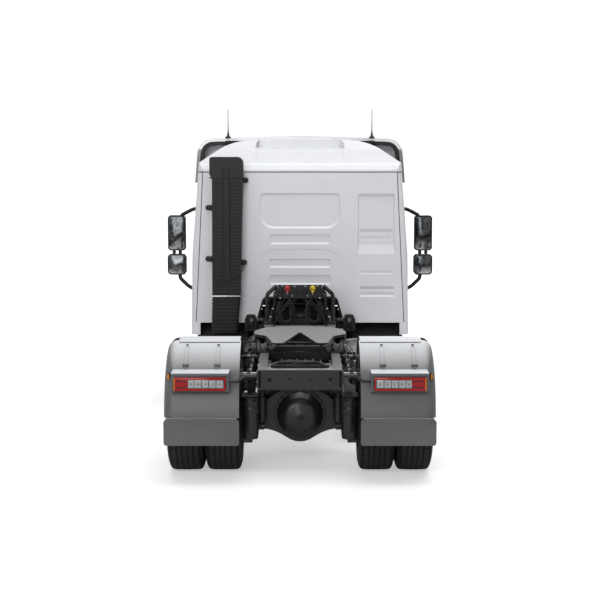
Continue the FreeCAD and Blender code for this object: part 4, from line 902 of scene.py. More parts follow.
def makeGuardFittings():
    bothSides([part for x in guardMake["straps"] for part in makeStrapAt(x)], "guardStraps", "guardGrey", "chassis")
    # amber marker in a black surround on the outer edge
    x0, x1 = guardMake["markerX"]
    z0, z1 = guardMake["markerZ"]
    y = guardPoint(math.degrees(math.asin((guardMake["markerLevel"] - 0.565) / guardMake["radius"])))[0]
    case = addBlock("case", (x0 - 0.004, y - 0.01, z0 - 0.006), (x1 + 0.004, y + 0.03, z1 + 0.006), 0.003)
    bothSides(case, "markerCase", "trimBlack", "chassis")
    bothSides(addBlock("lens", (x0, y - 0.016, z0), (x1, y - 0.008, z1), 0.004, 3), "markerLens", "lampAmber",
        "chassis")
    # bolts along the top of each flap, and the clamps of the guard's stays
    bolt = addBolt("flapBolt", 0.008, 0.008, "Y")
    bolts = repeatPiece("flapBolts", bolt, [(x, -2.816, 0.608) for x in (0.61, 0.75, 0.89, 1.03, 1.17)])
    bothSides(bolts, "flapBolts", "guardGrey", "chassis")
    clamp = [addRing("clamp", 16, 21.5, 30, (0, 0, 0), "X", 24)]
    addBlock(clamp, (-0.012, -0.012, 0.024), (0.012, 0.012, 0.052), 0.002)
    clamps = repeatPiece("stayClamps", joinPieces("stayClamp", clamp), [(x, y, 0.992) for x in (0.47, 0.532)
        for y in (-2.61, -1.61)])
    bothSides(clamps, "stayClamps", "chassisPaint", "chassis")


makeGuardFittings()
print("tail lamps and guard fittings made")


# bolts on the frame, and the fittings of the fifth wheel

def makeFrameBolts():
    bolt = addBolt("railBolt", 0.011, 0.013, "X")
    places = []
    for y in (-2.7, -2.36, -2.05, -1.75, -1.18, -0.9, -0.42, -0.1, 0.26, 0.52, 0.92, 1.4, 1.75, 2.12):
        for z in ((1.03, 0.985) if y < -2.5 else (1.035, 0.985, 0.87)):
            for shift in (-0.032, 0.032):
                places.append((0.3805, y + shift, z))
    bothSides(repeatPiece("railBolts", bolt, places), "railBolts", "zincBolt", "chassis")
    # mounting plate of the fifth wheel: bolts along both edges
    bolt = addBolt("plateBolt", 0.013, 0.016, "Z")
    places = [(x, y, 1.087) for x in (0.315, 0.425) for y in (-1.86, -1.78, -1.44, -1.36, -1.28)]
    bothSides(repeatPiece("mountBolts", bolt, places), "mountBolts", "chassisPaint", "chassis")


makeFrameBolts()

fifthMake = {"plateTop": 1.225, "pivotZ": 1.159, "kingpinY": -1.59}


def makeFifthWheelFittings():
    make = fifthMake
    top = make["plateTop"]
    pin = make["kingpinY"]
    parts = []
    # lock jaws on their pins, and the release bar with its pull handle
    addSlab(parts, inPlane("Z", top - 0.064, [(0.012, pin + 0.052), (0.06, pin + 0.045), (0.078, pin - 0.01),
        (0.07, pin - 0.085), (0.04, pin - 0.085), (0.034, pin - 0.02), (0.03, pin + 0.02)]), (0, 0, 0.03), 0.004)
    addDrum(parts, (0.055, pin + 0.025, top - 0.074), (0.055, pin + 0.025, top - 0.03), 0.013, 20, 0.002)
    parts += mirrored(parts)
    addHose(parts, [(-0.1, pin + 0.16, top - 0.075), (-0.22, pin + 0.17, top - 0.08),
        (-0.34, pin + 0.06, top - 0.086), (-0.47, pin + 0.03, top - 0.09), (-0.545, pin + 0.02, top - 0.094)], 0.009,
        10)
    addTurned(parts, [(-7, 20), (0, 13), (7, 20), (0, 27)], (-0.562, pin + 0.02, top - 0.095), "Z", 20, closed=True)
    finishParts("lockJaws", parts, "greasySteel", "fifth_wheel_plate")
    # pivot pins with their keeper plates, riding on the base
    parts = []
    for x0, x1, radius in ((0.4185, 0.4235, 0.046), (0.4235, 0.4345, 0.029)):
        addDrum(parts, (x0, pin, make["pivotZ"]), (x1, pin, make["pivotZ"]), radius, 32, 0.002)
    for angle in (45, 135, 225, 315):
        place = (0.4235, pin + 0.036 * math.cos(math.radians(angle)), make["pivotZ"] + 0.036
            * math.sin(math.radians(angle)))
        movePiece(addBolt(parts, 0.0055, 0.006, "X"), place)
    # ribs on the pedestal's foot flanges
    for y in (pin - 0.08, pin - 0.03, pin + 0.03, pin + 0.08):
        addBlock(parts, (0.419, y - 0.006, 1.0875), (0.431, y + 0.006, 1.112), 0.0015)
    parts += mirrored(parts)
    finishParts("pivotKeepers", parts, "chassisPaint", "chassis")
    # ribs under the plate
    parts = []
    for start, end in (((0.205, -2.2), (0.15, -1.78)), ((0.262, -2.16), (0.322, -1.8))):
        addSlab(parts, [(start[0], start[1], top - 0.0265), (end[0], end[1], top - 0.0265),
            (end[0], end[1], top - 0.064), (start[0], start[1], top - 0.04)], (0.007, 0, 0), 0.001)
    parts += mirrored(parts)
    finishParts("plateRibs", parts, "greasySteel", "fifth_wheel_plate")


makeFifthWheelFittings()
print("frame bolts and fifth wheel fittings made")


# rear axle: ring of bolts round the carrier, drain plug, air lines and valve block

axleMake = {"centre": (0, -2.11, 0.54), "boltCircle": 0.228, "boltCount": 20}


def makeAxleFittings():
    centre = Vector(axleMake["centre"])
    bolt = addBolt("carrierBolt", 0.0085, 0.011, "Y")
    places = []
    for step in range(axleMake["boltCount"]):
        angle = math.tau * (step + 0.5) / axleMake["boltCount"]
        places.append(centre + Vector((axleMake["boltCircle"] * math.sin(angle), -0.0965,
            axleMake["boltCircle"] * math.cos(angle))))
    bolts = repeatPiece("carrierBolts", bolt, places)
    plug = addTurned("drainPlug", [(0, 28), (-12, 28), (-14, 24), (-14, 14), (-9, 13), (-9, 0.1)], centre
        + Vector((0, -0.222, 0)), "Y", 24)
    seam = addTurned("coverSeam", [(0, 235.5), (-3, 238), (-3, 241), (0, 242.5)], centre + Vector((0, -0.0945, 0)),
        "Y", 64)
    finishParts("axleCoverFittings", [bolts, plug, seam], "greasySteel", "chassis")
    parts = []
    # air lines from the rails to the brake chambers, sagging between clips
    for number, shift in enumerate((0, 0.035, 0.07)):
        addHose(parts, [(0.296, -2.33 + shift, 0.985), (0.285, -2.33 + shift, 0.9), (0.3 + shift, -2.28 + shift, 0.8),
            (0.37 + shift * 0.5, -2.22, 0.7 - shift), (0.41, -2.1 + shift, 0.64), (0.34 + shift, -1.99, 0.648)],
            0.0085, 8)
    addHose(parts, [(0.29, -2.64, 1.02), (0.282, -2.5, 0.99), (0.286, -2.38, 1), (0.282, -2.25, 0.992),
        (0.284, -2.1, 1)], 0.01, 8)
    parts += mirrored(parts)
    finishParts("axleAirLines", parts, "hoseBlack", "chassis")
    # valve block with unions between the rails
    parts = [addBlock("valveBlock", (-0.085, -2.39, 1.046), (0.085, -2.3, 1.062), 0.003)]
    for x in (-0.06, -0.02, 0.02, 0.06):
        addTurned(parts, [(0, 0), (0, 13), (10, 13), (12, 10), (20, 10), (20, 0)], (x, -2.345, 1.06), "Z", 6)
    finishParts("valveBlock", parts, "chassisPaint", "chassis")


makeAxleFittings()
print("rear axle fittings made")


# relay valves, junctions and hoses along the rails ahead of the drive axle

def makeRelayValve(name):
    parts = [addTurned("body", [(0, 0.1), (0, 36), (12, 43), (40, 43), (46, 36), (60, 34), (64, 26), (82, 26),
        (86, 0.1)], (0, 0, 0), "Z", 24)]
    for turn in (20, 140, 260):
        turnPiece(addDrum(parts, (0.03, 0, 0.026), (0.06, 0, 0.026), 0.012, 12, 0.002), turn, "Z")
    return joinPieces(name, parts)


def makeRailServices():
    valve = makeRelayValve("relayValve")
    dark, bright = [], []
    for sign, first, second in ((1, 0.895, 0.925), (-1, 0.945, 0.905)):
        for x, y, z in ((0.5, -1.3, first), (0.5, -1.425, second), (0.495, -2.56, 0.9)):
            dark.append(copyPiece(valve, "valve", shift=(sign * x, y, z)))
            movePiece(addBolt(bright, 0.008, 0.01, "Z"), (sign * 0.5, y, z + 0.086))
    bpy.data.objects.remove(valve)
    half = []
    addSlab(half, inPlane("X", 0.437, ((-1.5, 0.86), (-1.23, 0.86), (-1.23, 1), (-1.29, 1.045), (-1.44, 1.045),
        (-1.5, 1))), (0.006, 0, 0), 0.002)
    addBlock(half, (0.44, -1.49, 0.889), (0.545, -1.24, 0.895), 0.002)
    for number, (x, z, sag) in enumerate(((0.452, 0.985, 0.03), (0.468, 0.965, 0.05), (0.486, 1.005, 0.02),
            (0.505, 0.985, 0.06), (0.53, 1.01, 0.04))):
        addHose(half, [(x, -1.24, z), (x + 0.006, -1.38, z - sag), (x, -1.6, z - sag * 0.6),
            (0.45 + 0.012 * number, -1.85, 0.985 - 0.01 * number),
            (0.446 + 0.01 * number, -2.2, 1.02 - 0.012 * number), (0.45 + 0.006 * number, -2.52, 1 - 0.02 * number)],
            0.0075 + 0.002 * (number % 2), 8)
    dark += half + mirrored(half)
    # clips and unions of the hoses, and plugs on the axle housing
    clip = addBlock("hoseClip", (-0.011, -0.014, -0.034), (0.011, 0.014, 0.034), 0.004)
    half = [repeatPiece("hoseClips", clip, [(0.452, y, 1) for y in (-1.7, -1.98, -2.3, -2.5)])]
    union = addRing("hoseUnion", 12, 7.5, 12.5, (0, 0, 0), "Y", 6)
    half.append(repeatPiece("hoseUnions", union, [(0.462, -1.38, 0.955), (0.474, -1.38, 0.915), (0.511, -1.38, 0.925),
        (0.486, -1.6, 0.993), (0.505, -1.6, 0.949)]))
    addTurned(half, [(4, 0.1), (4, 10), (-8, 10), (-10, 0.1)], (0.2, -2.206, 0.6), "Y", 6)
    bright += half + mirrored(half)
    # loom and fittings on the cross member behind the axle
    for number in range(6):
        y, z, odd = -2.305 - 0.017 * number, 1.06 + 0.007 * (number % 2), number % 2
        addHose(dark, [(-0.262, y + 0.02, z - 0.03), (-0.2, y - 0.008, z), (-0.09, y + 0.008, z + 0.005),
            (0.04, y - 0.008, z), (0.17, y + 0.008, z + 0.004), (0.262, y - 0.02, z - 0.04)], 0.008 + 0.0015 * odd, 8)
    for x, y in ((-0.17, -2.33), (-0.1, -2.37), (-0.03, -2.32), (0.05, -2.36), (0.12, -2.33), (0.19, -2.37)):
        addTurned(bright, [(0, 0.1), (0, 9), (12, 9), (14, 6), (26, 6), (28, 0.1)], (x, y, 1.064), "Z", 6)
    # gusset that closes the frame's end, with rounded inner corners, in worn steel; its narrow light arms along the
    # rails' inner edges are painted edge highlights
    turns = [math.radians(step * 15) for step in range(7)]
    corner = [(0.198 + 0.07 * math.cos(turn), -2.712 - 0.07 * math.sin(turn)) for turn in turns]
    row = [(0.286, -2.62), (0.286, -2.858), (-0.286, -2.858), (-0.286, -2.62), (-0.268, -2.62)]
    row += [(-x, y) for x, y in corner] + corner[::-1] + [(0.268, -2.62)]
    gusset = addSlab("endGusset", inPlane("Z", 1.0753, row), (0, 0, 0.0035), 0.0008)
    donePiece(gusset, "wornSteel", "chassis")
    finishParts("railServices", dark, "hoseBlack", "chassis")
    finishParts("railClips", bright, "zincBolt", "chassis")


makeRailServices()
print("valves and hoses along the rails made")


# curly air lines and their couplings

airMake = {"route": ((0.216, 1.3714), (0.22, 1.322), (0.225, 1.245), (0.224, 1.136), (0.1823, 1.0943),
    (0.1237, 1.0943), (0.082, 1.136), (0.081, 1.215), (0.092, 1.288), (0.12, 1.348), (0.138, 1.386), (0.138, 1.432)),
    "depth": 0.052, "hose": 0.006, "turnRadius": 0.0255, "pitch": 0.0205, "leadStart": 0.04, "leadEnd": 0.085,
    "stepsPerTurn": 18}


def splinePoints(points):
    # the points of the smooth line that a route makes
    route = newSpline(points, 3, 24)
    bpy.context.view_layer.update()
    mesh = bpy.data.meshes.new_from_object(route)
    places = [vertex.co.copy() for vertex in mesh.vertices]
    bpy.data.objects.remove(route)
    bpy.data.meshes.remove(mesh)
    return places


def coilAlong(places, make):
    # a helix round the line between its two straight leads
    lengths = [0]
    for before, here in zip(places, places[1:]):
        lengths.append(lengths[-1] + (here - before).length)
    total = lengths[-1]
    start, end = make["leadStart"], total - make["leadEnd"]
    turns = round((end - start) / make["pitch"])

    def spot(distance):
        for row in range(1, len(lengths)):
            if lengths[row] >= distance:
                share = (distance - lengths[row - 1]) / max(1e-9, lengths[row] - lengths[row - 1])
                return places[row - 1].lerp(places[row], share), (places[row] - places[row - 1]).normalized()
        return places[-1], (places[-1] - places[-2]).normalized()

    helix = [places[0], spot(start * 0.45)[0]]
    count = turns * make["stepsPerTurn"]
    for step in range(count + 1):
        share = step / count
        middle, along = spot(start + (end - start) * share)
        side = along.cross(Vector((0, 1, 0))).normalized()
        turn = math.tau * turns * share
        swell = min(1, share * turns / 0.8, (1 - share) * turns / 0.8)
        radius = make["turnRadius"] * (0.25 + 0.75 * swell)
        helix.append(middle + (side * math.cos(turn) + Vector((0, 1, 0)) * math.sin(turn)) * radius)
    helix += [spot(end + (total - end) * 0.4)[0], spot(end + (total - end) * 0.75)[0], places[-1]]
    return helix


def makeCoupling(name, x):
    # hand coupling: round body with its seal, a hooked detent plate and a hose union below
    depth = airMake["depth"]
    body = addTurned(name, [(44.5, 0.1), (44.5, 24), (36, 30), (4, 30), (0, 27.5), (-6, 26.5), (-8, 24), (-8, 16.5),
        (-3, 15.5), (-3, 0.1)], (x, 0.05, 1.475), "Y", 32)
    seal = addTurned(name + "Seal", [(-13.5, 15.5), (-13.5, 7.5), (-3, 6.5), (-3, 15.5)], (x, 0.05, 1.475), "Y", 28,
        closed=True)
    hook = addSlab(name + "Hook", inPlane("Y", 0.03, [(x - 0.026, 1.47), (x - 0.026, 1.496), (x - 0.012, 1.505),
        (x + 0.014, 1.504), (x + 0.027, 1.492), (x + 0.0275, 1.478), (x + 0.018, 1.492), (x - 0.01, 1.4935),
        (x - 0.018, 1.484)]), (0, 0.007, 0), 0.0012)
    tab = addSlab(name + "Tab", [(x - 0.008, 0.024, 1.5), (x + 0.01, 0.024, 1.5), (x + 0.012, 0.024, 1.4705),
        (x - 0.01, 0.024, 1.4705)], (0, 0.006, 0), 0.001)
    neck = addTurned(name + "Neck", [(0, 0.1), (0, 13), (-6, 15), (-22, 14.5), (-24, 12.5), (-30, 12.5), (-30, 0.1)],
        (x, depth, 1.462), "Z", 24)
    stud = addTurned(name + "Stud", [(94.5, 12), (94.5, 17), (88, 18), (88, 12)], (x, 0, 1.475), "Y", 24, closed=True)
    main = joinPieces(name, [body, hook, tab, neck, stud])
    return main, seal


def makeAirLines():
    make = airMake
    for side, sign, paint in (("left", -1, "couplingRed"), ("right", 1, "couplingYellow")):
        route = [(sign * x, make["depth"], z) for x, z in make["route"]]
        places = splinePoints(route)
        helix = coilAlong(places, make)
        hose = addHose(side + "AirLine", helix, make["hose"], 8, 3, 2)
        main, seal = makeCoupling(side + "Coupling", sign * 0.138)
        union = addTurned(side + "Union", [(0, 6.5), (0, 10.5), (4, 12), (16, 12), (18, 10), (30, 9.5), (30, 6.5)],
            (sign * 0.138, make["depth"], 1.402), "Z", 6)
        donePiece(main, paint, "chassis")
        donePiece(seal, "hoseBlack", "chassis")
        donePiece(union, "zincBolt", "chassis")
        donePiece(hose, "hoseBlack", "chassis", 60, (side + "_air_line",))
        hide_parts("air_couplings")


makeAirLines()
print("air lines made")


# the rack they hang from: bolts, sockets with caps, elbows and small wiring

def makeRackFittings():
    parts = []
    bolt = addBolt("rackBolt", 0.0075, 0.009, "Y")
    places = [(x, 0.0945, z) for x, z in ((-0.245, 1.488), (0.245, 1.488), (-0.272, 1.4), (0.272, 1.4),
        (-0.06, 1.495), (0.06, 1.495), (-0.085, 1.392), (0.085, 1.392), (-0.19, 1.5), (0.19, 1.5))]
    donePiece(repeatPiece("rackBolts", bolt, places), "zincBolt", "chassis")
    # round electric sockets with sprung caps
    for x, z in ((-0.045, 1.445), (0.045, 1.445), (-0.215, 1.452), (0.215, 1.452)):
        addTurned(parts, [(0, 31), (-10, 31), (-13, 28.5), (-30, 27), (-33, 24), (-34, 14), (-31, 12), (-31, 0.1)],
            (x, 0.0945, z), "Y", 28)
        addDrum(parts, (x - 0.014, 0.064, z + 0.029), (x + 0.014, 0.064, z + 0.029), 0.0045, 12, 0.001)
        addSlab(parts, [(x - 0.007, 0.062, z - 0.024), (x + 0.007, 0.062, z - 0.024), (x + 0.005, 0.056, z - 0.036),
            (x - 0.005, 0.056, z - 0.036)], (0, 0.003, 0), 0.0008)
    # corner tabs of the plate, bent round the legs
    half = []
    addRing(half, 18, 22.2, 27.5, (0.36, 0.1, 1.215), "Z", 28)
    addTurned(half, [(-12, 22.2), (-12, 34), (6, 30), (12, 22.2)], (0.36, 0.1, 1.098), "Z", 28, closed=True)
    parts += half + mirrored(half)
    addSlab(parts, [(x, 0.0915, z) for x, z in ((-0.286, 1.378), (-0.286, 1.362), (-0.272, 1.357), (0.272, 1.357),
        (0.286, 1.362), (0.286, 1.378))], (0, 0.017, 0), 0.003)
    finishParts("rackSockets", parts, "trimBlack", "chassis")
    # brass unions on the elbows and clips on the supply lines
    parts = []
    addTurned(parts, [(0, 0.1), (0, 12.5), (5, 14.5), (13, 14.5), (15, 11.5), (26, 10.5), (28, 0.1)],
        (0.216, 0.052, 1.366), "Z", 6)
    addTurned(parts, [(0, 0.1), (0, 19), (-12, 19), (-14, 16.5), (-24, 16.5), (-24, 0.1)], (0.272, 0.094, 1.392), "Y",
        6)
    for z, lean in ((1.255, 0.295), (1.165, 0.3175)):
        addRing(parts, 7, 12.2, 14.5, (lean, 0.074, z), "Z", 20)
    parts += mirrored(parts)
    finishParts("rackUnions", parts, "paleZinc", "chassis")
    # cables behind the plate, down to the rails
    parts = []
    for number in range(3):
        x = 0.045 + 0.055 * number
        addHose(parts, [(x, 0.118, 1.44), (x, 0.13, 1.4), (x * 1.15, 0.128, 1.32),
            (0.225 + 0.02 * number, 0.125, 1.24), (0.285 + 0.012 * number, 0.122, 1.15),
            (0.3 + 0.012 * number, 0.12, 1.082)], 0.0075 if number else 0.011, 8)
        addTurned(parts, [(0, 0.1), (0, 17), (14, 17), (18, 13), (30, 12), (30, 0.1)], (x, 0.1055, 1.44), "Y", 12)
    parts += mirrored(parts)
    finishParts("rackCables", parts, "hoseBlack", "chassis")


makeRackFittings()
print("coupling rack fittings made")


# hoses and wiring between the engine, the tunnel and the rails, behind the cab

def makeTunnelServices():
    parts = []
    for number in range(4):
        x = 0.1 + 0.045 * number
        addHose(parts, [(x, 1.06, 1.18 - 0.03 * number), (x * 1.05, 0.92, 1.22),
            (x * 1.25, 0.78, 1.2 - 0.02 * number), (0.25 + 0.015 * number, 0.66, 1.12),
            (0.272 + 0.006 * number, 0.5, 1.045 - 0.012 * number), (0.286, 0.3, 1.035 - 0.014 * number)], 0.009
            + 0.003 * (number % 2), 8)
    parts += mirrored(parts)
    # big coolant pipe with its clamps across the gearbox
    addHose(parts, [(-0.24, 0.98, 1.13), (-0.18, 0.93, 1.19), (-0.05, 0.9, 1.205), (0.07, 0.905, 1.2),
        (0.19, 0.94, 1.17), (0.23, 1, 1.1)], 0.024, 12)
    finishParts("tunnelHoses", parts, "hoseBlack", "chassis")
    parts = []
    for x, y, z in ((-0.05, 0.9, 1.203), (0.07, 0.905, 1.198)):
        addRing(parts, 8, 24.5, 27, (x, y, z), "X", 24)
    # gearbox cover with its bolts, selector housing and filler
    cover = addSlab("gearboxCover", inPlane("Z", 1.016, [(-0.13, 0.56), (0.13, 0.56), (0.15, 0.7), (0.15, 1),
        (-0.15, 1), (-0.15, 0.7)]), (0, 0, 0.022), 0.006)
    insetExtrude(cover, lambda middle, normal: normal.z > 0.95, 0.03, 0.012)
    parts.append(cover)
    bolt = addBolt("coverBolt", 0.0075, 0.009, "Z")
    parts.append(repeatPiece("coverBolts", bolt, [(x, y, 1.038) for x in (-0.135, 0.135)
        for y in (0.74, 0.84, 0.94)]))
    addTurned(parts, [(0, 75), (30, 75), (50, 60), (66, 30), (68, 0.1)], (0, 0.8, 1.048), "Z", 32)
    finishParts("gearboxTop", parts, "engineIron", "chassis")


makeTunnelServices()
print("tunnel hoses made")


# seals in the cab's grooves, and a black plate behind the visor as painted shade

def makeCabSeals():
    parts = [addHose("roofSeal", inPlane("Z", 2.7205, [(-1.146, 2.25), (-1.148, 1.6), (-1.148, 0.86), (-1.148, 0.762),
        (-1.05, 0.7605), (0, 0.7605), (1.05, 0.7605), (1.148, 0.762), (1.148, 0.86), (1.148, 1.6), (1.146, 2.25)]),
        0.005, 8, 3, 10)]
    half = []
    addHose(half, [(1.0985, 0.7625, 2.712), (1.143, 0.7625, 1.86), (1.1875, 0.7625, 1.012)], 0.0042, 8)
    parts += half + mirrored(half)
    finishParts("cabSeals", parts, "sealGrey", "cab")


def makeVisorShadePlate():
    outer = [(-1.268, 2.552), (-1.25, 2.8), (-1.236, 2.955), (-1.205, 3.005), (-1.15, 3.03), (-1.05, 3.038),
        (-0.7, 3.05)]
    inner = [(-0.7, 3.005), (-1.03, 2.994), (-1.125, 2.982), (-1.165, 2.955), (-1.19, 2.91), (-1.205, 2.79),
        (-1.222, 2.6), (-1.235, 2.56)]
    # black plate in the visor's corners: painted shade of the gap between the visor and the roof
    lining = addSlab("visorShadePlate", inPlane("Y", 2.566, outer + inner), (0, 0.06, 0), 0.006)
    rib = addSlab("visorRib", [(-1.262, 2.64, 2.7), (-1.262, 2.64, 2.725), (-1.165, 2.64, 2.745),
        (-1.165, 2.64, 2.715)], (0, 0.02, 0), 0.003)
    bothSides([lining, rib], "visorShadePlate", "trimBlack", "cab")


def mouthRow(shift):
    # the tunnel mouth's edge in the rear wall, grown outwards by shift
    lean, corner = 0.7666, (0.41 + 0.7666 * shift, 1.287 + shift)
    radius = 0.05 + shift
    row = [(-corner[0] - 0.269 * (corner[1] - 1.006), 1.006)]
    for step in range(7):
        turn = math.radians(164.95 - 74.95 * step / 6)
        row.append((-corner[0] + lean * radius + radius * math.cos(turn),
            corner[1] - radius + radius * math.sin(turn)))
    return row + [(-x, z) for x, z in reversed(row)]


def makeTunnelEdgeAndShade():
    parts = []
    for inner, outer, y0, y1 in ((-0.006, 0.018, 0.7435, 0.7496), (-0.006, -0.0004, 0.749, 0.8)):
        addSlab(parts, [(x, y0, z) for x, z in mouthRow(outer) + mouthRow(inner)[::-1]], (0, y1 - y0, 0), 0.0015)
    # black plates on the front wall's inside, seen from behind below the floor: painted shade under the cab
    half = []
    addBlock(half, (0.4, 2.728, 0.953), (0.96, 2.744, 1.215), 0.003)
    parts += half + mirrored(half)
    finishParts("tunnelEdgeAndShadePlates", parts, "trimBlack", "cab")


makeCabSeals()
makeVisorShadePlate()
makeTunnelEdgeAndShade()
print("cab seals made")


# mirrors: glass in its recesses, seams and joints of the arms

mirrorMake = {"main": ((1.4445, 1.7005), (1.6375, 2.1085), 0.03), "wide": ((1.4385, 1.3955), (1.6435, 1.6245), 0.034),
    "glassY": (2.3985, 2.4065), "housings": (((1.4275, 1.6835), (1.6545, 2.1255), 0.042),
    ((1.424, 1.381), (1.658, 1.639), 0.0445))}


def makeMirrorGlass():
    for key in ("main", "wide"):
        low, high, radius = mirrorMake[key]
        glass = roundedPlate(key + "MirrorGlass", low, high, radius, mirrorMake["glassY"], "Y", 0.002, 5)
        bothSides(glass, key + "MirrorGlass", "mirrorGlass", "cab")
    parts = []
    for x, z in ((1.502, 1.663), (1.578, 1.663)):
        addRing(parts, 16, 12, 21.5, (x, 2.44, z), "Z", 20)
    for x, z in ((1.2, 2.2115), (1.222, 1.1435)):
        addTurned(parts, [(-22, 24), (-22, 40), (10, 38), (22, 30), (22, 24)], (x, 2.44, z), "X", 24, closed=True)
    # seam round each housing
    for low, high, radius in mirrorMake["housings"]:
        ringSeam(parts, low, high, radius, 2.452, 0.004, 0.006, 4, 0, -1)
    bothSides(parts, "mirrorFittings", "trimBlack", "cab")


makeMirrorGlass()
print("mirrors made")


# raised intake: boot folds, ridge and rubber mounts

def makeIntakeFittings():
    band = addBlock("band", (-0.9935, 0.543, 1.3235), (-0.6665, 0.5475, 1.3385), 0.0015)
    screw = addDrum("clampScrew", (-0.845, 0.5395, 1.331), (-0.8, 0.5395, 1.331), 0.006, 12, 0.001)
    finishParts("intakeClamp", [band, screw], "paleZinc", "cab")
    parts = []
    # folds of the rubber boot
    for row in range(9):
        z = 0.938 + row * 0.042
        share = (1.329 - z) / 0.422
        x0, x1 = -0.988 - 0.012 * share, -0.674 - 0.038 * share
        y0, y1 = 0.568 + 0.012 * share, 0.738 - 0.008 * share
        low, high = (x0 - 0.005, y0 - 0.007), (x1 + 0.005, y1 + 0.003)
        roundedPlate(parts, low, high, 0.026, (z, z + 0.014), "Z", 0.003, 3)
    # raised lip of the hood and its rolled edge
    roundedPlate(parts, (-1.0135, 2.655), (-0.6345, 2.669), 0.006, (0.549, 0.7425), "Y", 0.002, 2)
    # ridge cable channel, hooked to the left at its top
    for x in (-0.8575, -0.7925):
        addHose(parts, [(x, 0.5455, 1.5), (x, 0.5455, 2), (x, 0.5455, 2.735)], 0.0048, 8)
    addHose(parts, [(-0.7925, 0.5455, 2.735), (-0.795, 0.5455, 2.764), (-0.825, 0.5455, 2.772),
        (-0.85, 0.5455, 2.768), (-0.872, 0.5465, 2.758)], 0.0048, 8)
    # cable that loops from the lower right mount round the duct
    addHose(parts, [(-0.622, 0.668, 1.718), (-0.626, 0.6, 1.685), (-0.64, 0.556, 1.64), (-0.672, 0.54, 1.575),
        (-0.725, 0.5385, 1.538), (-0.8, 0.5385, 1.515), (-0.88, 0.54, 1.5), (-0.962, 0.545, 1.497)], 0.0062, 8, 3, 8)
    for x, z, sign in ((-0.612, 2.63, -1), (-1.04, 2.32, 1), (-1.046, 1.74, 1), (-0.632, 1.7, -1)):
        addTurned(parts, [(-50, 0.1), (-50, 12), (-46, 22), (-36, 29), (-20, 30), (-14, 24), (-8, 30), (4, 29),
            (8, 0.1)], (x, 0.742, z), "Y", 28)
        near, far = x - sign * 0.018, x + sign * 0.055
        addSlab(parts, inPlane("Y", 0.688, [(near, z - 0.024), (far, z - 0.034), (far, z + 0.034),
            (near, z + 0.024)]), (0, 0.01, 0), 0.003)
    finishParts("intakeFittings", parts, "trimBlack", "cab")


makeIntakeFittings()


# rear cab mounts: rubber rings, lock housing and bolts

def makeMountFittings():
    parts = []
    x = 0.56
    for z, hole in ((1.048, 26), (0.966, 32)):
        addTurned(parts, [(0, hole + 0.5), (-9, hole + 1), (-12, hole + 6), (-9, hole + 12), (0, hole + 14)],
            (x, 0.6545, z), "Y", 28, closed=True)
    addRing(parts, 12, 30.5, 40, (0.455, 0.697, 1.036), "X", 28)
    addTurned(parts, [(30, 0.1), (30, 17), (-10, 17), (-14, 12), (-14, 0.1)], (x, 0.665, 0.966), "Y", 20)
    for dx, dz in ((-0.052, 0), (0.052, 0), (-0.052, -0.062), (0.052, -0.062)):
        movePiece(addBolt(parts, 0.0075, 0.008, "Y"), (x + dx, 0.6555, 1.01 + dz))
    parts += mirrored(parts)
    finishParts("cabMountFittings", parts, "greasySteel", "chassis")


makeMountFittings()
print("intake and mount fittings made")


# places on a CAD surface, found by casting a line onto it

def surfaceAt(node, start, along):
    hit, place, normal, index = nodes[node].ray_cast(Vector(start), Vector(along))
    return (place, normal) if hit else (None, None)


def sealRound(name, node, row, start, along, radius, lift=0):
    # a rubber seal on a pane, round an outline of two coordinates
    places = []
    for a, b in row:
        origin = (a, start, b) if abs(along[1]) > 0.5 else (start, a, b)
        place, normal = surfaceAt(node, origin, along)
        if place is not None:
            places.append(place - Vector(along) * lift)
    places.append(places[0])
    return addHose(name, places, radius, 8, 2, 1)


def makeGlassSeals():
    row = [(x, z) for x, z in roundRow((-1.062, 1.848), (1.062, 2.64), 0.09, 6)]
    dense = []
    for before, here in zip(row, row[1:] + row[:1]):
        count = max(1, int(math.dist(before, here) / 0.06))
        dense += [(before[0] + (here[0] - before[0]) * step / count, before[1] + (here[1] - before[1]) * step / count)
            for step in range(count)]
    dense = [(x * (1 - 0.012 * (z - 1.85) / 0.8), z) for x, z in dense]
    donePiece(sealRound("screenSeal", "windscreen", dense, 3.4, (0, -1, 0), 0.013), "trimBlack", "cab")
    for side, sign in sides:
        corners = [(2.262, 1.838), (2.176, 2.518), (1.412, 2.518), (1.384, 1.885), (1.456, 1.808)]
        row = []
        for number, corner in enumerate(corners):
            before, after = Vector(corners[number - 1]), Vector(corners[(number + 1) % 5])
            here = Vector(corner)
            a = here + (before - here).normalized() * 0.05
            b = here + (after - here).normalized() * 0.05
            row += [tuple(a.lerp(here, share).lerp(here.lerp(b, share), share)) for share in (0, 0.25, 0.5, 0.75, 1)]
        donePiece(sealRound(side + "WindowSeal", side + "_door_glass", row, sign * 1.6, (-sign, 0, 0), 0.011),
            "trimBlack", side + "_door")


makeGlassSeals()


# wipers

wiperMake = {"pivots": (-0.44, 0.14, 0.72)}


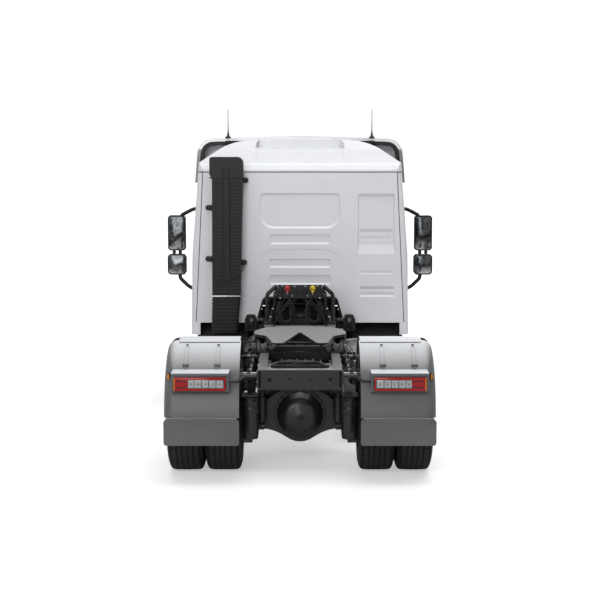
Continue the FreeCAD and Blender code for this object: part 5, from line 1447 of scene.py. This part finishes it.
def makeWipers():
    parts, blades = [], []
    for pivot in wiperMake["pivots"]:
        foot, normal = surfaceAt("cab_shell", (pivot, 3.2, 1.792), (0, -1, 0))
        addTurned(parts, [(-4, 34), (10, 34), (30, 26), (38, 18), (40, 0.1)], foot, "Y", 24)
        tip = Vector((pivot - 0.3, 2.8, 1.975))
        place, normal = surfaceAt("windscreen", (tip.x, 3.2, tip.z), (0, -1, 0))
        tip.y = place.y + 0.03
        start = foot + Vector((0, 0.03, 0))
        addSlab(parts, [start + Vector((0, 0, -0.013)), start + Vector((0, 0, 0.013)), tip + Vector((0, 0, 0.006)),
            tip + Vector((0, 0, -0.006))], (0, 0.007, 0), 0.002)
        ends = []
        for shift in (-0.31, 0.31):
            x, z = tip.x + shift * 0.95, tip.z + shift * -0.2
            place, normal = surfaceAt("windscreen", (x, 3.2, z), (0, -1, 0))
            ends.append((place if place is not None else Vector((x, 2.78, z))) + Vector((0, 0.009, 0)))
        middle = (ends[0] + ends[1]) / 2 + Vector((0, 0.012, 0))
        addHose(blades, [ends[0], (ends[0] + ends[1]) / 2, ends[1]], 0.006, 6, 3, 6)
        addHose(blades, [ends[0] + Vector((0, 0.006, 0)), middle + Vector((0, 0.012, 0)),
            ends[1] + Vector((0, 0.006, 0))], 0.0045, 6, 3, 6)
    finishParts("wipers", parts + blades, "trimBlack", "cab")


makeWipers()
print("glass seals and wipers made")


# doors: handle in its cup, key lock, lower moulding and the hinge covers

doorMake = {"handleY": (1.335, 1.535), "handleZ": (1.545, 1.625)}


def skinX(z):
    return 1.247 - (z - 0.865) * 0.0187 if z < 1.775 else 1.23 - (z - 1.775) * 0.078


def makeDoorFittings():
    y0, y1 = doorMake["handleY"]
    z0, z1 = doorMake["handleZ"]
    x = skinX(1.585)
    for side, sign in sides:
        parts = []
        cup = roundedPlate("handleCup", (y0, z0), (y1, z1), 0.03, (x - 0.003, x + 0.003), "X", 0, 5)
        insetExtrude(cup, lambda middle, normal: normal.x > 0.9, 0.006, 0)
        insetExtrude(cup, lambda middle, normal: normal.x > 0.9 and abs(middle.y - (y0 + y1) / 2) < 0.03, 0.004,
            -0.004)
        parts.append(cup)
        addHose(parts, inPlane("Z", 1.592, [(x + 0.002, y0 + 0.018), (x + 0.026, y0 + 0.028),
            (x + 0.03, (y0 + y1) / 2), (x + 0.026, y1 - 0.028), (x + 0.002, y1 - 0.018)]), 0.0095, 10, 3, 8)
        addTurned(parts, [(-3, 16), (4, 16), (6, 13), (6, 0.1)], (x + 0.0005, y0 + 0.03, 1.515), "X", 24)
        addSlab(parts, [(skinX(z) - 0.002 + out, 1.3, z) for z,
            out in ((1.275, 0), (1.278, 0.012), (1.318, 0.012), (1.322, 0))], (0, 1.01, 0), 0.003)
        for z in (1.05, 1.72):
            addSlab(parts, [(skinX(z) - 0.002, 2.3, z - 0.045), (skinX(z) + 0.012, 2.304, z - 0.038),
                (skinX(z) + 0.012, 2.304, z + 0.038), (skinX(z) - 0.002, 2.3, z + 0.045)], (0, 0.03, 0), 0.003)
        finishParts(side + "DoorFittings", parts if sign > 0 else flipped(parts), "trimBlack", side + "_door")
        # inner trim card with arm rest and pull
        parts = []
        addSlab(parts, [(1.122 - 0.02 * (z > 1.7), y, z) for y, z in ((1.315, 1.345), (2.3, 1.345), (2.3, 1.76),
            (1.42, 1.76), (1.325, 1.84))], (0.016, 0, 0), 0.006)
        roundedPlate(parts, (1.4, 1.52), (2.02, 1.6), 0.03, (1.055, 1.128), "X", 0.012, 4)
        finishParts(side + "DoorCard", parts if sign > 0 else flipped(parts), "dashGrey", side + "_door")


makeDoorFittings()
print("door fittings made")


# grille inserts behind the slots of the front panel, its trim and its grab handle

def makeGrille():
    parts = []
    for row in range(5):
        z = 1.075 + row * 0.082
        roundedPlate(parts, (-0.7585, z + 0.0015), (0.7585, z + 0.0505), 0.0165, (2.769, 2.7735))
        for column in range(25):
            x = -0.72 + column * 0.06
            addBlock(parts, (x - 0.0025, 2.773, z + 0.0025), (x + 0.0025, 2.787, z + 0.0495))
        addBlock(parts, (-0.745, 2.792, z + 0.0535), (0.745, 2.8015, z + 0.0615), 0.002)
    addHose(parts, inPlane("Z", 1.56, [(-0.16, 2.792), (-0.16, 2.818), (-0.1, 2.826), (0.1, 2.826), (0.16, 2.818),
        (0.16, 2.792)]), 0.01)
    finishParts("grilleInserts", parts, "trimBlack", "front_panel")
    plate = roundedPlate("panelPlate", (-0.3, 1.625), (0.3, 1.675), 0.02, (2.789, 2.7975), "Y", 0.003)
    insetExtrude(plate, lambda middle, normal: normal.y > 0.95, 0.006, -0.002)
    donePiece(plate, "dashGrey", "front_panel")


makeGrille()


# headlamps: clear cover, dark housing and round reflectors with their bulbs

lampUnits = ((0.778, 0.72, 58), (0.915, 0.72, 52), (1.045, 0.722, 42))


def makeHeadlamps():
    source = nodes["headlamps"]
    found = [surfaceAt("headlamps", (x, 3.2, z), (0, -1, 0)) for x, z, radius in lampUnits]
    for name, finish, outside in (("headlampCovers", "clearCover", True), ("headlampHousings", "trimBlack", False)):
        cover = copyPiece(source, name)
        cover.animation_data_clear()
        editMesh(cover)
        pickAll()
        bpy.ops.mesh.remove_doubles(threshold=0.0001)
        pickFaces(cover, lambda middle, normal: (normal.y + abs(normal.x) * 0.6 < 0.35) == outside)
        bpy.ops.mesh.delete(type="FACE")
        leaveEdit()
        useModifier(cover, "SOLIDIFY", thickness=0.003 if outside else 0.002, offset=-1 if outside else 1)
        donePiece(cover, finish, "chassis", 30)
    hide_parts("headlamps")
    bowls, bulbs, rims = [], [], []
    for (x, z, radius), (place, normal) in zip(lampUnits, found):
        centre = place + Vector((0, -0.0095, 0)) - Vector((0, abs(normal.x) * radius / 1000, 0))
        turn = -0.7 * math.degrees(math.atan2(normal.x, normal.y))
        addTurned(bowls, [(0, radius), (-6, radius * 0.97), (-16, radius * 0.8), (-24, radius * 0.52),
            (-27.5, radius * 0.24), (-28, 0.1)], centre, "Y", 32)
        turnPiece(bowls[-1], turn, "Z", centre)
        addTurned(bulbs, [(0, 0.1), (-2, 6), (-8, 9), (-24, 8), (-26, 0.1)], centre + Vector((0, -0.002, 0)), "Y", 16)
        addTurned(rims, [(1, radius + 0.5), (4, radius + 3), (0, radius + 7), (-6, radius + 4)], centre, "Y", 32,
            closed=True)
        turnPiece(rims[-1], turn, "Z", centre)
    bothSides(bowls, "headlampBowls", "lampChrome", "chassis")
    bothSides(bulbs, "headlampBulbs", "lampClear", "chassis")
    bothSides(rims, "headlampRings", "reflectorGrey", "chassis")


makeHeadlamps()


# bumper: intake mesh, plate holder, tread on the step and tow eye cover

def makeBumperFittings():
    parts = []
    for z in (0.455, 0.515, 0.575):
        roundedPlate(parts, (-0.556, z + 0.002), (0.556, z + 0.036), 0.013, (2.812, 2.818), "Y", 0, 3)
    roundedPlate(parts, (-0.27, 0.63), (0.27, 0.76), 0.012, (2.8525, 2.859), "Y", 0.0015, 3)
    insetExtrude(parts[-1], lambda middle, normal: normal.y > 0.95, 0.008, -0.003)
    addTurned(parts, [(-12, 21.5), (0, 22.5), (2, 20), (3, 0.1)], (-0.33, 2.8545, 0.725), "Y", 28)
    for row in range(7):
        y = 2.7 + row * 0.018
        addBlock(parts, (-0.72, y, 0.8825), (0.72, y + 0.009, 0.8855), 0.001)
    finishParts("bumperFittings", parts, "trimBlack", "chassis")


makeBumperFittings()


# corner deflectors with their indicators, over the ends of the front wall

def makeCornerTrims():
    centre = (0.9955, 2.55)

    def arcRow(start, end, inner, outer, steps=8):
        turns = [math.radians(start + (end - start) * step / steps) for step in range(steps + 1)]
        row = [(centre[0] + outer * math.sin(turn), centre[1] + outer * math.cos(turn)) for turn in turns]
        return row + [(centre[0] + inner * math.sin(turn), centre[1] + inner * math.cos(turn))
            for turn in reversed(turns)]

    case = addSlab("cornerCase", inPlane("Z", 0.951, arcRow(30, 60, 0.243, 0.2555)), (0, 0, 0.285), 0.003)
    lens = addSlab("cornerLens", inPlane("Z", 1.01, arcRow(36, 54, 0.25, 0.26)), (0, 0, 0.12), 0.003)
    ribs = []
    for row in range(3):
        z = 1.155 + row * 0.022
        addSlab(ribs, inPlane("Z", z, arcRow(33, 57, 0.252, 0.2585)), (0, 0, 0.008), 0.0015)
    bothSides([case] + ribs, "cornerTrim", "trimBlack", "cab")
    bothSides(lens, "cornerIndicator", "lampAmber", "cab")


makeCornerTrims()


# cab steps: punched treads with raised studs

def makeStepTreads():
    parts = []
    for z in (0.415, 0.655):
        roundedPlate(parts, (0.985, 2.18), (1.2385, 2.362), 0.018, (z + 0.0005, z + 0.006), "Z", 0.0015, 3)
        stud = addTurned("treadStud", [(0, 10), (4, 8.5), (4.5, 5), (1.5, 4.2), (1.5, 0.1)], (0, 0, 0), "Z", 10)
        places = [(1.005 + column * 0.0305, 2.202 + row * 0.0345, z + 0.006) for column in range(8)
            for row in range(5)]
        parts.append(repeatPiece("treadStuds", stud, places))
        addHose(parts, [(1.2375, 2.178, z + 0.005), (1.2375, 2.27, z + 0.005), (1.2375, 2.364, z + 0.005)], 0.005, 8)
    bothSides(parts, "stepTreads", "tankMetal", "chassis")


makeStepTreads()
print("front fittings made")


# padded pieces: a block is remeshed, swollen by cloth pressure and smoothed

def puffPad(piece, voxel, cap, pressure=4, pinned=None):
    useModifier(piece, "REMESH", mode="VOXEL", voxel_size=voxel)
    before = [vertex.co.copy() for vertex in piece.data.vertices]
    pickOnly(piece)
    cloth = piece.modifiers.new("padCloth", "CLOTH")
    cloth.settings.use_pressure = True
    cloth.settings.uniform_pressure_force = pressure
    cloth.settings.quality = 4
    cloth.settings.effector_weights.gravity = 0
    cloth.collision_settings.use_collision = False
    cloth.point_cache.frame_start = 1
    cloth.point_cache.frame_end = 20
    for step in range(1, 17):
        bpy.context.scene.frame_set(step)
    bpy.ops.object.modifier_apply(modifier=cloth.name)
    bpy.context.scene.frame_set(1)
    for vertex, start in zip(piece.data.vertices, before):
        moved = vertex.co - start
        if moved.length > cap:
            vertex.co = start + moved.normalized() * cap
        if pinned and pinned(start):
            vertex.co = start
    useModifier(piece, "SMOOTH", factor=0.5, iterations=3)
    return piece


def pressChannels(piece, axis, places, depth, width, test):
    # sewn channels: the cover is drawn in along lines across the pad
    for vertex in piece.data.vertices:
        if not test(vertex):
            continue
        for place in places:
            away = abs(vertex.co[axis] - place) / width
            if away < 1:
                vertex.co -= vertex.normal * depth * (1 - away) ** 2
    piece.data.update()
    return piece


seatMake = {"place": 0.68, "half": 0.232, "voxel": 0.009}


def makeSeats():
    half = seatMake["half"]
    cushion = addBlock("seatCushion", (-half, 1.655, 1.525), (half, 2.145, 1.622), 0.035, 3)
    puffPad(cushion, seatMake["voxel"], 0.012, pinned=lambda place: place.z < 1.53)
    pressChannels(cushion, 0, (-0.15, 0.15), 0.01, 0.014, lambda vertex: vertex.normal.z > 0.5)
    pressChannels(cushion, 1, (1.8, 1.92, 2.04), 0.007, 0.012, lambda vertex: vertex.normal.z > 0.5
        and abs(vertex.co.x) < 0.15)
    back = addSlab("seatBack", [(-half + 0.005, y, z) for y, z in ((1.668, 1.64), (1.765, 1.64), (1.655, 2.222),
        (1.562, 2.222))], (2 * half - 0.01, 0, 0), 0.034, 3)
    puffPad(back, seatMake["voxel"], 0.012)
    pressChannels(back, 0, (-0.145, 0.145), 0.01, 0.014, lambda vertex: vertex.normal.y > 0.4)
    pressChannels(back, 2, (1.78, 1.91, 2.04), 0.007, 0.012, lambda vertex: vertex.normal.y > 0.4
        and abs(vertex.co.x) < 0.145)
    head = addSlab("headRest", [(-0.128, y, z) for y, z in ((1.572, 2.25), (1.65, 2.25), (1.632, 2.422),
        (1.562, 2.422))], (0.256, 0, 0), 0.026, 3)
    puffPad(head, seatMake["voxel"], 0.01)
    base, piping = [], []
    addTurned(base, [(0, 0.1), (0, 130), (12, 130), (20, 90), (200, 85), (210, 120), (235, 120), (235, 0.1)],
        (0, 1.9, 1.2755), "Z", 32)
    addBlock(base, (-0.215, 1.675, 1.508), (0.215, 2.125, 1.528), 0.006)
    for x in (-0.222, 0.222):
        addSlab(base, inPlane("X", x - 0.012, ((1.66, 1.5), (2.02, 1.5), (2.06, 1.545), (1.8, 1.57), (1.7, 1.7),
            (1.66, 1.7))), (0.024, 0, 0), 0.006)
    for x in (-0.05, 0.05):
        addDrum(base, (x, 1.606, 2.2), (x, 1.604, 2.27), 0.006, 12, 0.001)
    base = joinPieces("seatFrame", base)
    for x in (-half - 0.002, half + 0.002):
        addHose(piping, [(x * 0.985, 1.7, 1.612), (x, 1.9, 1.616), (x * 0.985, 2.12, 1.606)], 0.0045, 8)
    piping = joinPieces("seatPiping", piping)
    for side, sign in sides:
        for source, label, finish in ((cushion, "Cushion", "clothGrey"), (back, "Backrest", "clothGrey"),
                (head, "Headrest", "clothGrey"), (base, "SeatFrame", "dashGrey"),
                (piping, "SeatPiping", "trimBlack")):
            twin = copyPiece(source, side + label, shift=(sign * seatMake["place"], 0, 0))
            donePiece(twin, finish, "cab", 50, () if source is piping else ("seats",))
    for source in (cushion, back, head, base, piping):
        bpy.data.objects.remove(source)


makeSeats()
print("seats made")


# bunk: board, lockers with doors and a padded mattress

def makeBunk():
    mattress = addBlock("mattress", (-1.105, 0.83, 1.688), (1.105, 1.418, 1.772), 0.03, 3)
    puffPad(mattress, 0.016, 0.012, pinned=lambda place: place.z < 1.695)
    pressChannels(mattress, 0, [-0.9 + 0.3 * row for row in range(7)], 0.009, 0.022,
        lambda vertex: vertex.normal.z > 0.5)
    donePiece(mattress, "clothGrey", "cab", 50)
    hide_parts("bunk")
    parts = [addBlock("bunkBoard", (-1.118, 0.812, 1.597), (1.118, 1.438, 1.68), 0.008)]
    half = []
    locker = addBlock("bunkLocker", (0.562, 0.812, 1.277), (1.118, 1.398, 1.597), 0.006)
    insetExtrude(locker, lambda middle, normal: normal.y > 0.95, 0.022, -0.004)
    half.append(locker)
    addHose(half, [(0.8, 1.396, 1.53), (0.8, 1.412, 1.53), (0.84, 1.414, 1.53), (0.88, 1.412, 1.53),
        (0.88, 1.396, 1.53)], 0.005, 8)
    parts += half + mirrored(half)
    # net bars and the rail that keeps the mattress in
    addHose(parts, [(-1.05, 1.425, 1.66), (-1.05, 1.432, 1.77), (0, 1.432, 1.775), (1.05, 1.432, 1.77),
        (1.05, 1.425, 1.66)], 0.007, 8)
    finishParts("bunkBase", parts, "dashGrey", "cab", 32, ("bunk",))


makeBunk()


# dashboard: dials, vents, screen, steering wheel rim cover and pedals

def makeDashFittings():
    parts, dials = [], []
    centre = Vector((0, 2.487, 1.805))
    for x, radius in ((-0.8, 52), (-0.665, 64), (-0.555, 36)):
        centre.x = x
        addTurned(parts, [(4, radius), (-10, radius + 4), (-12, radius + 2), (-4, radius - 4)], (0, 0, 0), "Y", 32,
            closed=True)
        turnPiece(parts[-1], -26, "X", shift=centre)
        addTurned(dials, [(0, radius - 2), (-2, radius - 6), (-3, 0.1)], (0, 0, 0), "Y", 32)
        turnPiece(dials[-1], -26, "X", shift=centre)
        top = radius / 1000 - 0.008
        for turn in range(-120, 121, 30):
            addBlock(dials, (-0.0012, -0.0042, top - 0.008), (0.0012, -0.002, top), 0.0003, 1)
            turnPiece(turnPiece(dials[-1], turn, "Y"), -26, "X", shift=centre)
    finishParts("dialFaces", dials, "reflectorGrey", "cab")
    for x in (-0.98, -0.36, 0.1, 0.55, 0.98):
        roundedPlate(parts, (x - 0.065, 1.7), (x + 0.065, 1.765), 0.012, (2.408, 2.424), "Y", 0.002, 3)
        insetExtrude(parts[-1], lambda middle, normal: normal.y < -0.95, 0.006, -0.004)
        for row in range(4):
            addBlock(parts, (x - 0.056, 2.405, 1.709 + row * 0.0145), (x + 0.056, 2.418, 1.712 + row * 0.0145),
                0.0006, 1)
    roundedPlate(parts, (-0.22, 1.775), (0.02, 1.905), 0.014, (2.448, 2.462), "Y", 0.003, 3)
    insetExtrude(parts[-1], lambda middle, normal: normal.y < -0.95, 0.01, -0.002)
    roundedPlate(parts, (0.3, 1.785), (0.62, 1.815), 0.012, (2.5, 2.56), "Y", 0.004, 3)
    # pedals and the gear selector beside the seat
    for x in (-0.6, -0.72, -0.82):
        addSlab(parts, [(x - 0.035, 2.49, 1.385), (x + 0.035, 2.49, 1.385), (x + 0.035, 2.525, 1.475),
            (x - 0.035, 2.525, 1.475)], (0, 0.012, -0.004), 0.003)
        addDrum(parts, (x, 2.51, 1.45), (x, 2.6, 1.6), 0.009, 12, 0.001)
    addHose(parts, [(-0.395, 1.98, 1.545), (-0.395, 1.99, 1.6), (-0.4, 2, 1.68)], 0.011, 10)
    addTurned(parts, [(0, 0.1), (4, 18), (25, 27), (55, 22), (66, 0.1)], (-0.4, 2, 1.675), "Z", 24)
    finishParts("dashFittings", parts, "trimBlack", "cab")
    wheel = []
    centre = Vector((-0.68, 2.27, 1.703))
    tilt = Vector((0, -0.27, 0.1)).to_track_quat("Z", "Y").to_matrix().to_4x4()
    for start in (25, 145, 265):
        arc = [Vector((0.225 * math.cos(math.radians(start + step * 10)),
            0.225 * math.sin(math.radians(start + step * 10)), 0)) for step in range(8)]
        addHose(wheel, [centre + tilt @ place for place in arc], 0.0195, 12, 3, 4)
    pad = addTurned(wheel, [(0, 66), (12, 64), (20, 50), (22, 0.1)], (0, 0, 0), "Z", 32)
    pad.data.transform(Matrix.Translation((-0.68, 2.27, 1.704)) @ tilt)
    finishParts("steeringFittings", wheel, "trimBlack", "cab")


makeDashFittings()
print("bunk and dashboard made")


# fuel tank: cap, strap bolts and end seams; battery box latches and ribs; air tank ends; silencer seams and slats

tankMake = {"straps": (-0.86, -0.29, 0.3)}


def makeTankFittings():
    parts = []
    for y in (-1.052, 0.46):
        ringSeam(parts, (0.4695, 0.3295), (1.1305, 0.8585), 0.11, y)
    addTurned(parts, [(0, 0.1), (0, 52), (6, 54), (26, 54), (31, 48), (33, 30), (33, 0.1)], (0.95, -0.98, 0.886), "Z",
        32)
    for turn in range(0, 360, 36):
        rib = addBlock(parts, (-0.004, 0.05, 0.005), (0.004, 0.058, 0.026), 0.0015, 1)
        turnPiece(rib, turn, "Z", shift=(0.95, -0.98, 0.886))
    bolt = addBolt("strapBolt", 0.009, 0.016, "Z")
    places = [(x, y, 0.8625) for x in (0.52, 0.56) for y in tankMake["straps"]]
    parts.append(repeatPiece("strapBolts", bolt, places))
    finishParts("tankFittings", parts, "tankMetal", "chassis")
    # rubber under the straps, seen along their edges
    parts = []
    for y in tankMake["straps"]:
        for side in (-0.0345, 0.0305):
            ringSeam(parts, (0.469, 0.329), (1.131, 0.859), 0.111, y + side, 0.0025, 0.004)
    finishParts("strapRubbers", parts, "trimBlack", "chassis")


def makeBatteryFittings():
    parts = []
    for y in (-0.12, 0.42):
        roundedPlate(parts, (y - 0.022, 0.742), (y + 0.022, 0.802), 0.008, (-1.1375, -1.127), "X", 0.002, 3)
        addDrum(parts, (-1.139, y - 0.026, 0.8), (-1.139, y + 0.026, 0.8), 0.0055, 12, 0.001)
    for row in range(6):
        y = -0.2 + row * 0.13
        addBlock(parts, (-1.1265, y, 0.445), (-1.1205, y + 0.05, 0.715), 0.002)
    for row in range(9):
        x = -1.08 + row * 0.062
        addBlock(parts, (x, -0.23, 0.8255), (x + 0.03, 0.53, 0.83), 0.0015)
    finishParts("batteryFittings", parts, "trimBlack", "chassis")
    parts = []
    for z in (0.755, 0.935):
        for y, sign in ((-1.08, -1), (-0.32, 1)):
            addTurned(parts, [(0, 81.5), (sign * 12, 79), (sign * 26, 62), (sign * 33, 36), (sign * 35, 0.1)],
                (-0.482, y, z), "Y", 32)
        for y in (-0.98, -0.4):
            addRing(parts, 18, 82.2, 85.2, (-0.482, y, z), "Y", 40)
        addTurned(parts, [(0, 0.1), (0, 12), (-12, 12), (-14, 8), (-26, 8), (-26, 0.1)], (-0.482, -0.7, z - 0.081),
            "Z", 12)
    finishParts("airTankEnds", parts, "chassisPaint", "chassis")


def makeSilencerFittings():
    parts = []
    for y in (-1.318, -0.345):
        ringSeam(parts, (-1.1205, 0.4645), (-0.6195, 0.9355), 0.09, y, 0.004, 0.014)
    for row in range(8):
        z = 0.545 + row * 0.042
        addBlock(parts, (-1.1265, -1.2, z), (-1.1205, -0.46, z + 0.018), 0.003)
    addTurned(parts, [(-6, 46), (-6, 52.5), (4, 53), (6, 46)], (-1.07, -0.7, 0.3665), "X", 32, closed=True)
    finishParts("silencerFittings", parts, "wornSteel", "chassis")


makeTankFittings()
makeBatteryFittings()
makeSilencerFittings()
print("tank, battery box and silencer fittings made")


# studio

studio = {"lens": 86.33, "place": (0, -15.557, 3.27), "pitch": 7.013, "worldLight": 0.3,
    "lamps": (("ceilingLamp", (0.5, -1.5, 10.5), (0, 0.2, 0), 9, 620),
    ("rearLamp", (-3.5, -14, 5.5), (0, 0, 1.6), 6, 640), ("frontLamp", (5, 13, 6), (0, 0, 1.6), 6, 640))}


def makeStudio():
    scene = bpy.context.scene
    cameraData = bpy.data.cameras.new("studioCamera")
    cameraData.lens = studio["lens"]
    cameraData.sensor_width = 36
    cameraData.clip_end = 500
    camera = bpy.data.objects.new("studioCamera", cameraData)
    camera.location = studio["place"]
    camera.rotation_euler = (math.radians(90 - studio["pitch"]), 0, 0)
    scene.collection.objects.link(camera)
    scene.camera = camera
    for name, place, aim, size, power in studio["lamps"]:
        lampData = bpy.data.lights.new(name, "AREA")
        lampData.size = size
        lampData.energy = power
        lamp = bpy.data.objects.new(name, lampData)
        lamp.location = place
        lamp.rotation_euler = (Vector(aim) - lamp.location).to_track_quat("-Z", "Y").to_euler()
        lamp.visible_camera = False
        scene.collection.objects.link(lamp)
    world = bpy.data.worlds.new("studioWorld")
    scene.world = world
    world.use_nodes = True
    tree = world.node_tree
    background = tree.nodes["Background"]
    path = tree.nodes.new("ShaderNodeLightPath")
    seen = addMath(tree, "MAXIMUM", path.outputs["Is Camera Ray"], addMath(tree, "MAXIMUM",
        path.outputs["Is Glossy Ray"], path.outputs["Is Transmission Ray"]))
    background.inputs["Color"].default_value = (1, 1, 1, 1)
    tree.links.new(mapRange(tree, seen, 0, 1, studio["worldLight"], 1), background.inputs["Strength"])
    bpy.ops.mesh.primitive_plane_add(size=240, location=(0, 0, -0.001))
    floor = bpy.context.object
    floor.name = "studioFloor"
    paper = bpy.data.materials.new("floorPaper")
    paper.use_nodes = True
    tree = paper.node_tree
    shader = tree.nodes["Principled BSDF"]
    shader.inputs["Base Color"].default_value = (0.9, 0.9, 0.9, 1)
    shader.inputs["Roughness"].default_value = 0.9
    shader.inputs["Specular IOR Level"].default_value = 0.1
    shader.inputs["Emission Color"].default_value = (1, 1, 1, 1)
    path = tree.nodes.new("ShaderNodeLightPath")
    seen = addMath(tree, "MAXIMUM", path.outputs["Is Camera Ray"], path.outputs["Is Transmission Ray"])
    away = tree.nodes.new("ShaderNodeVectorMath")
    away.operation = "LENGTH"
    tree.links.new(tree.nodes.new("ShaderNodeTexCoord").outputs["Object"], away.inputs[0])
    glow = mapRange(tree, away.outputs["Value"], 4, 13, 0.42, 0.95)
    tree.links.new(addMath(tree, "MULTIPLY", seen, glow), shader.inputs["Emission Strength"])
    floor.data.materials.append(paper)
    scene.view_settings.view_transform = "Standard"


bpy.ops.object.select_all(action="DESELECT")
makeStudio()
print("studio made")
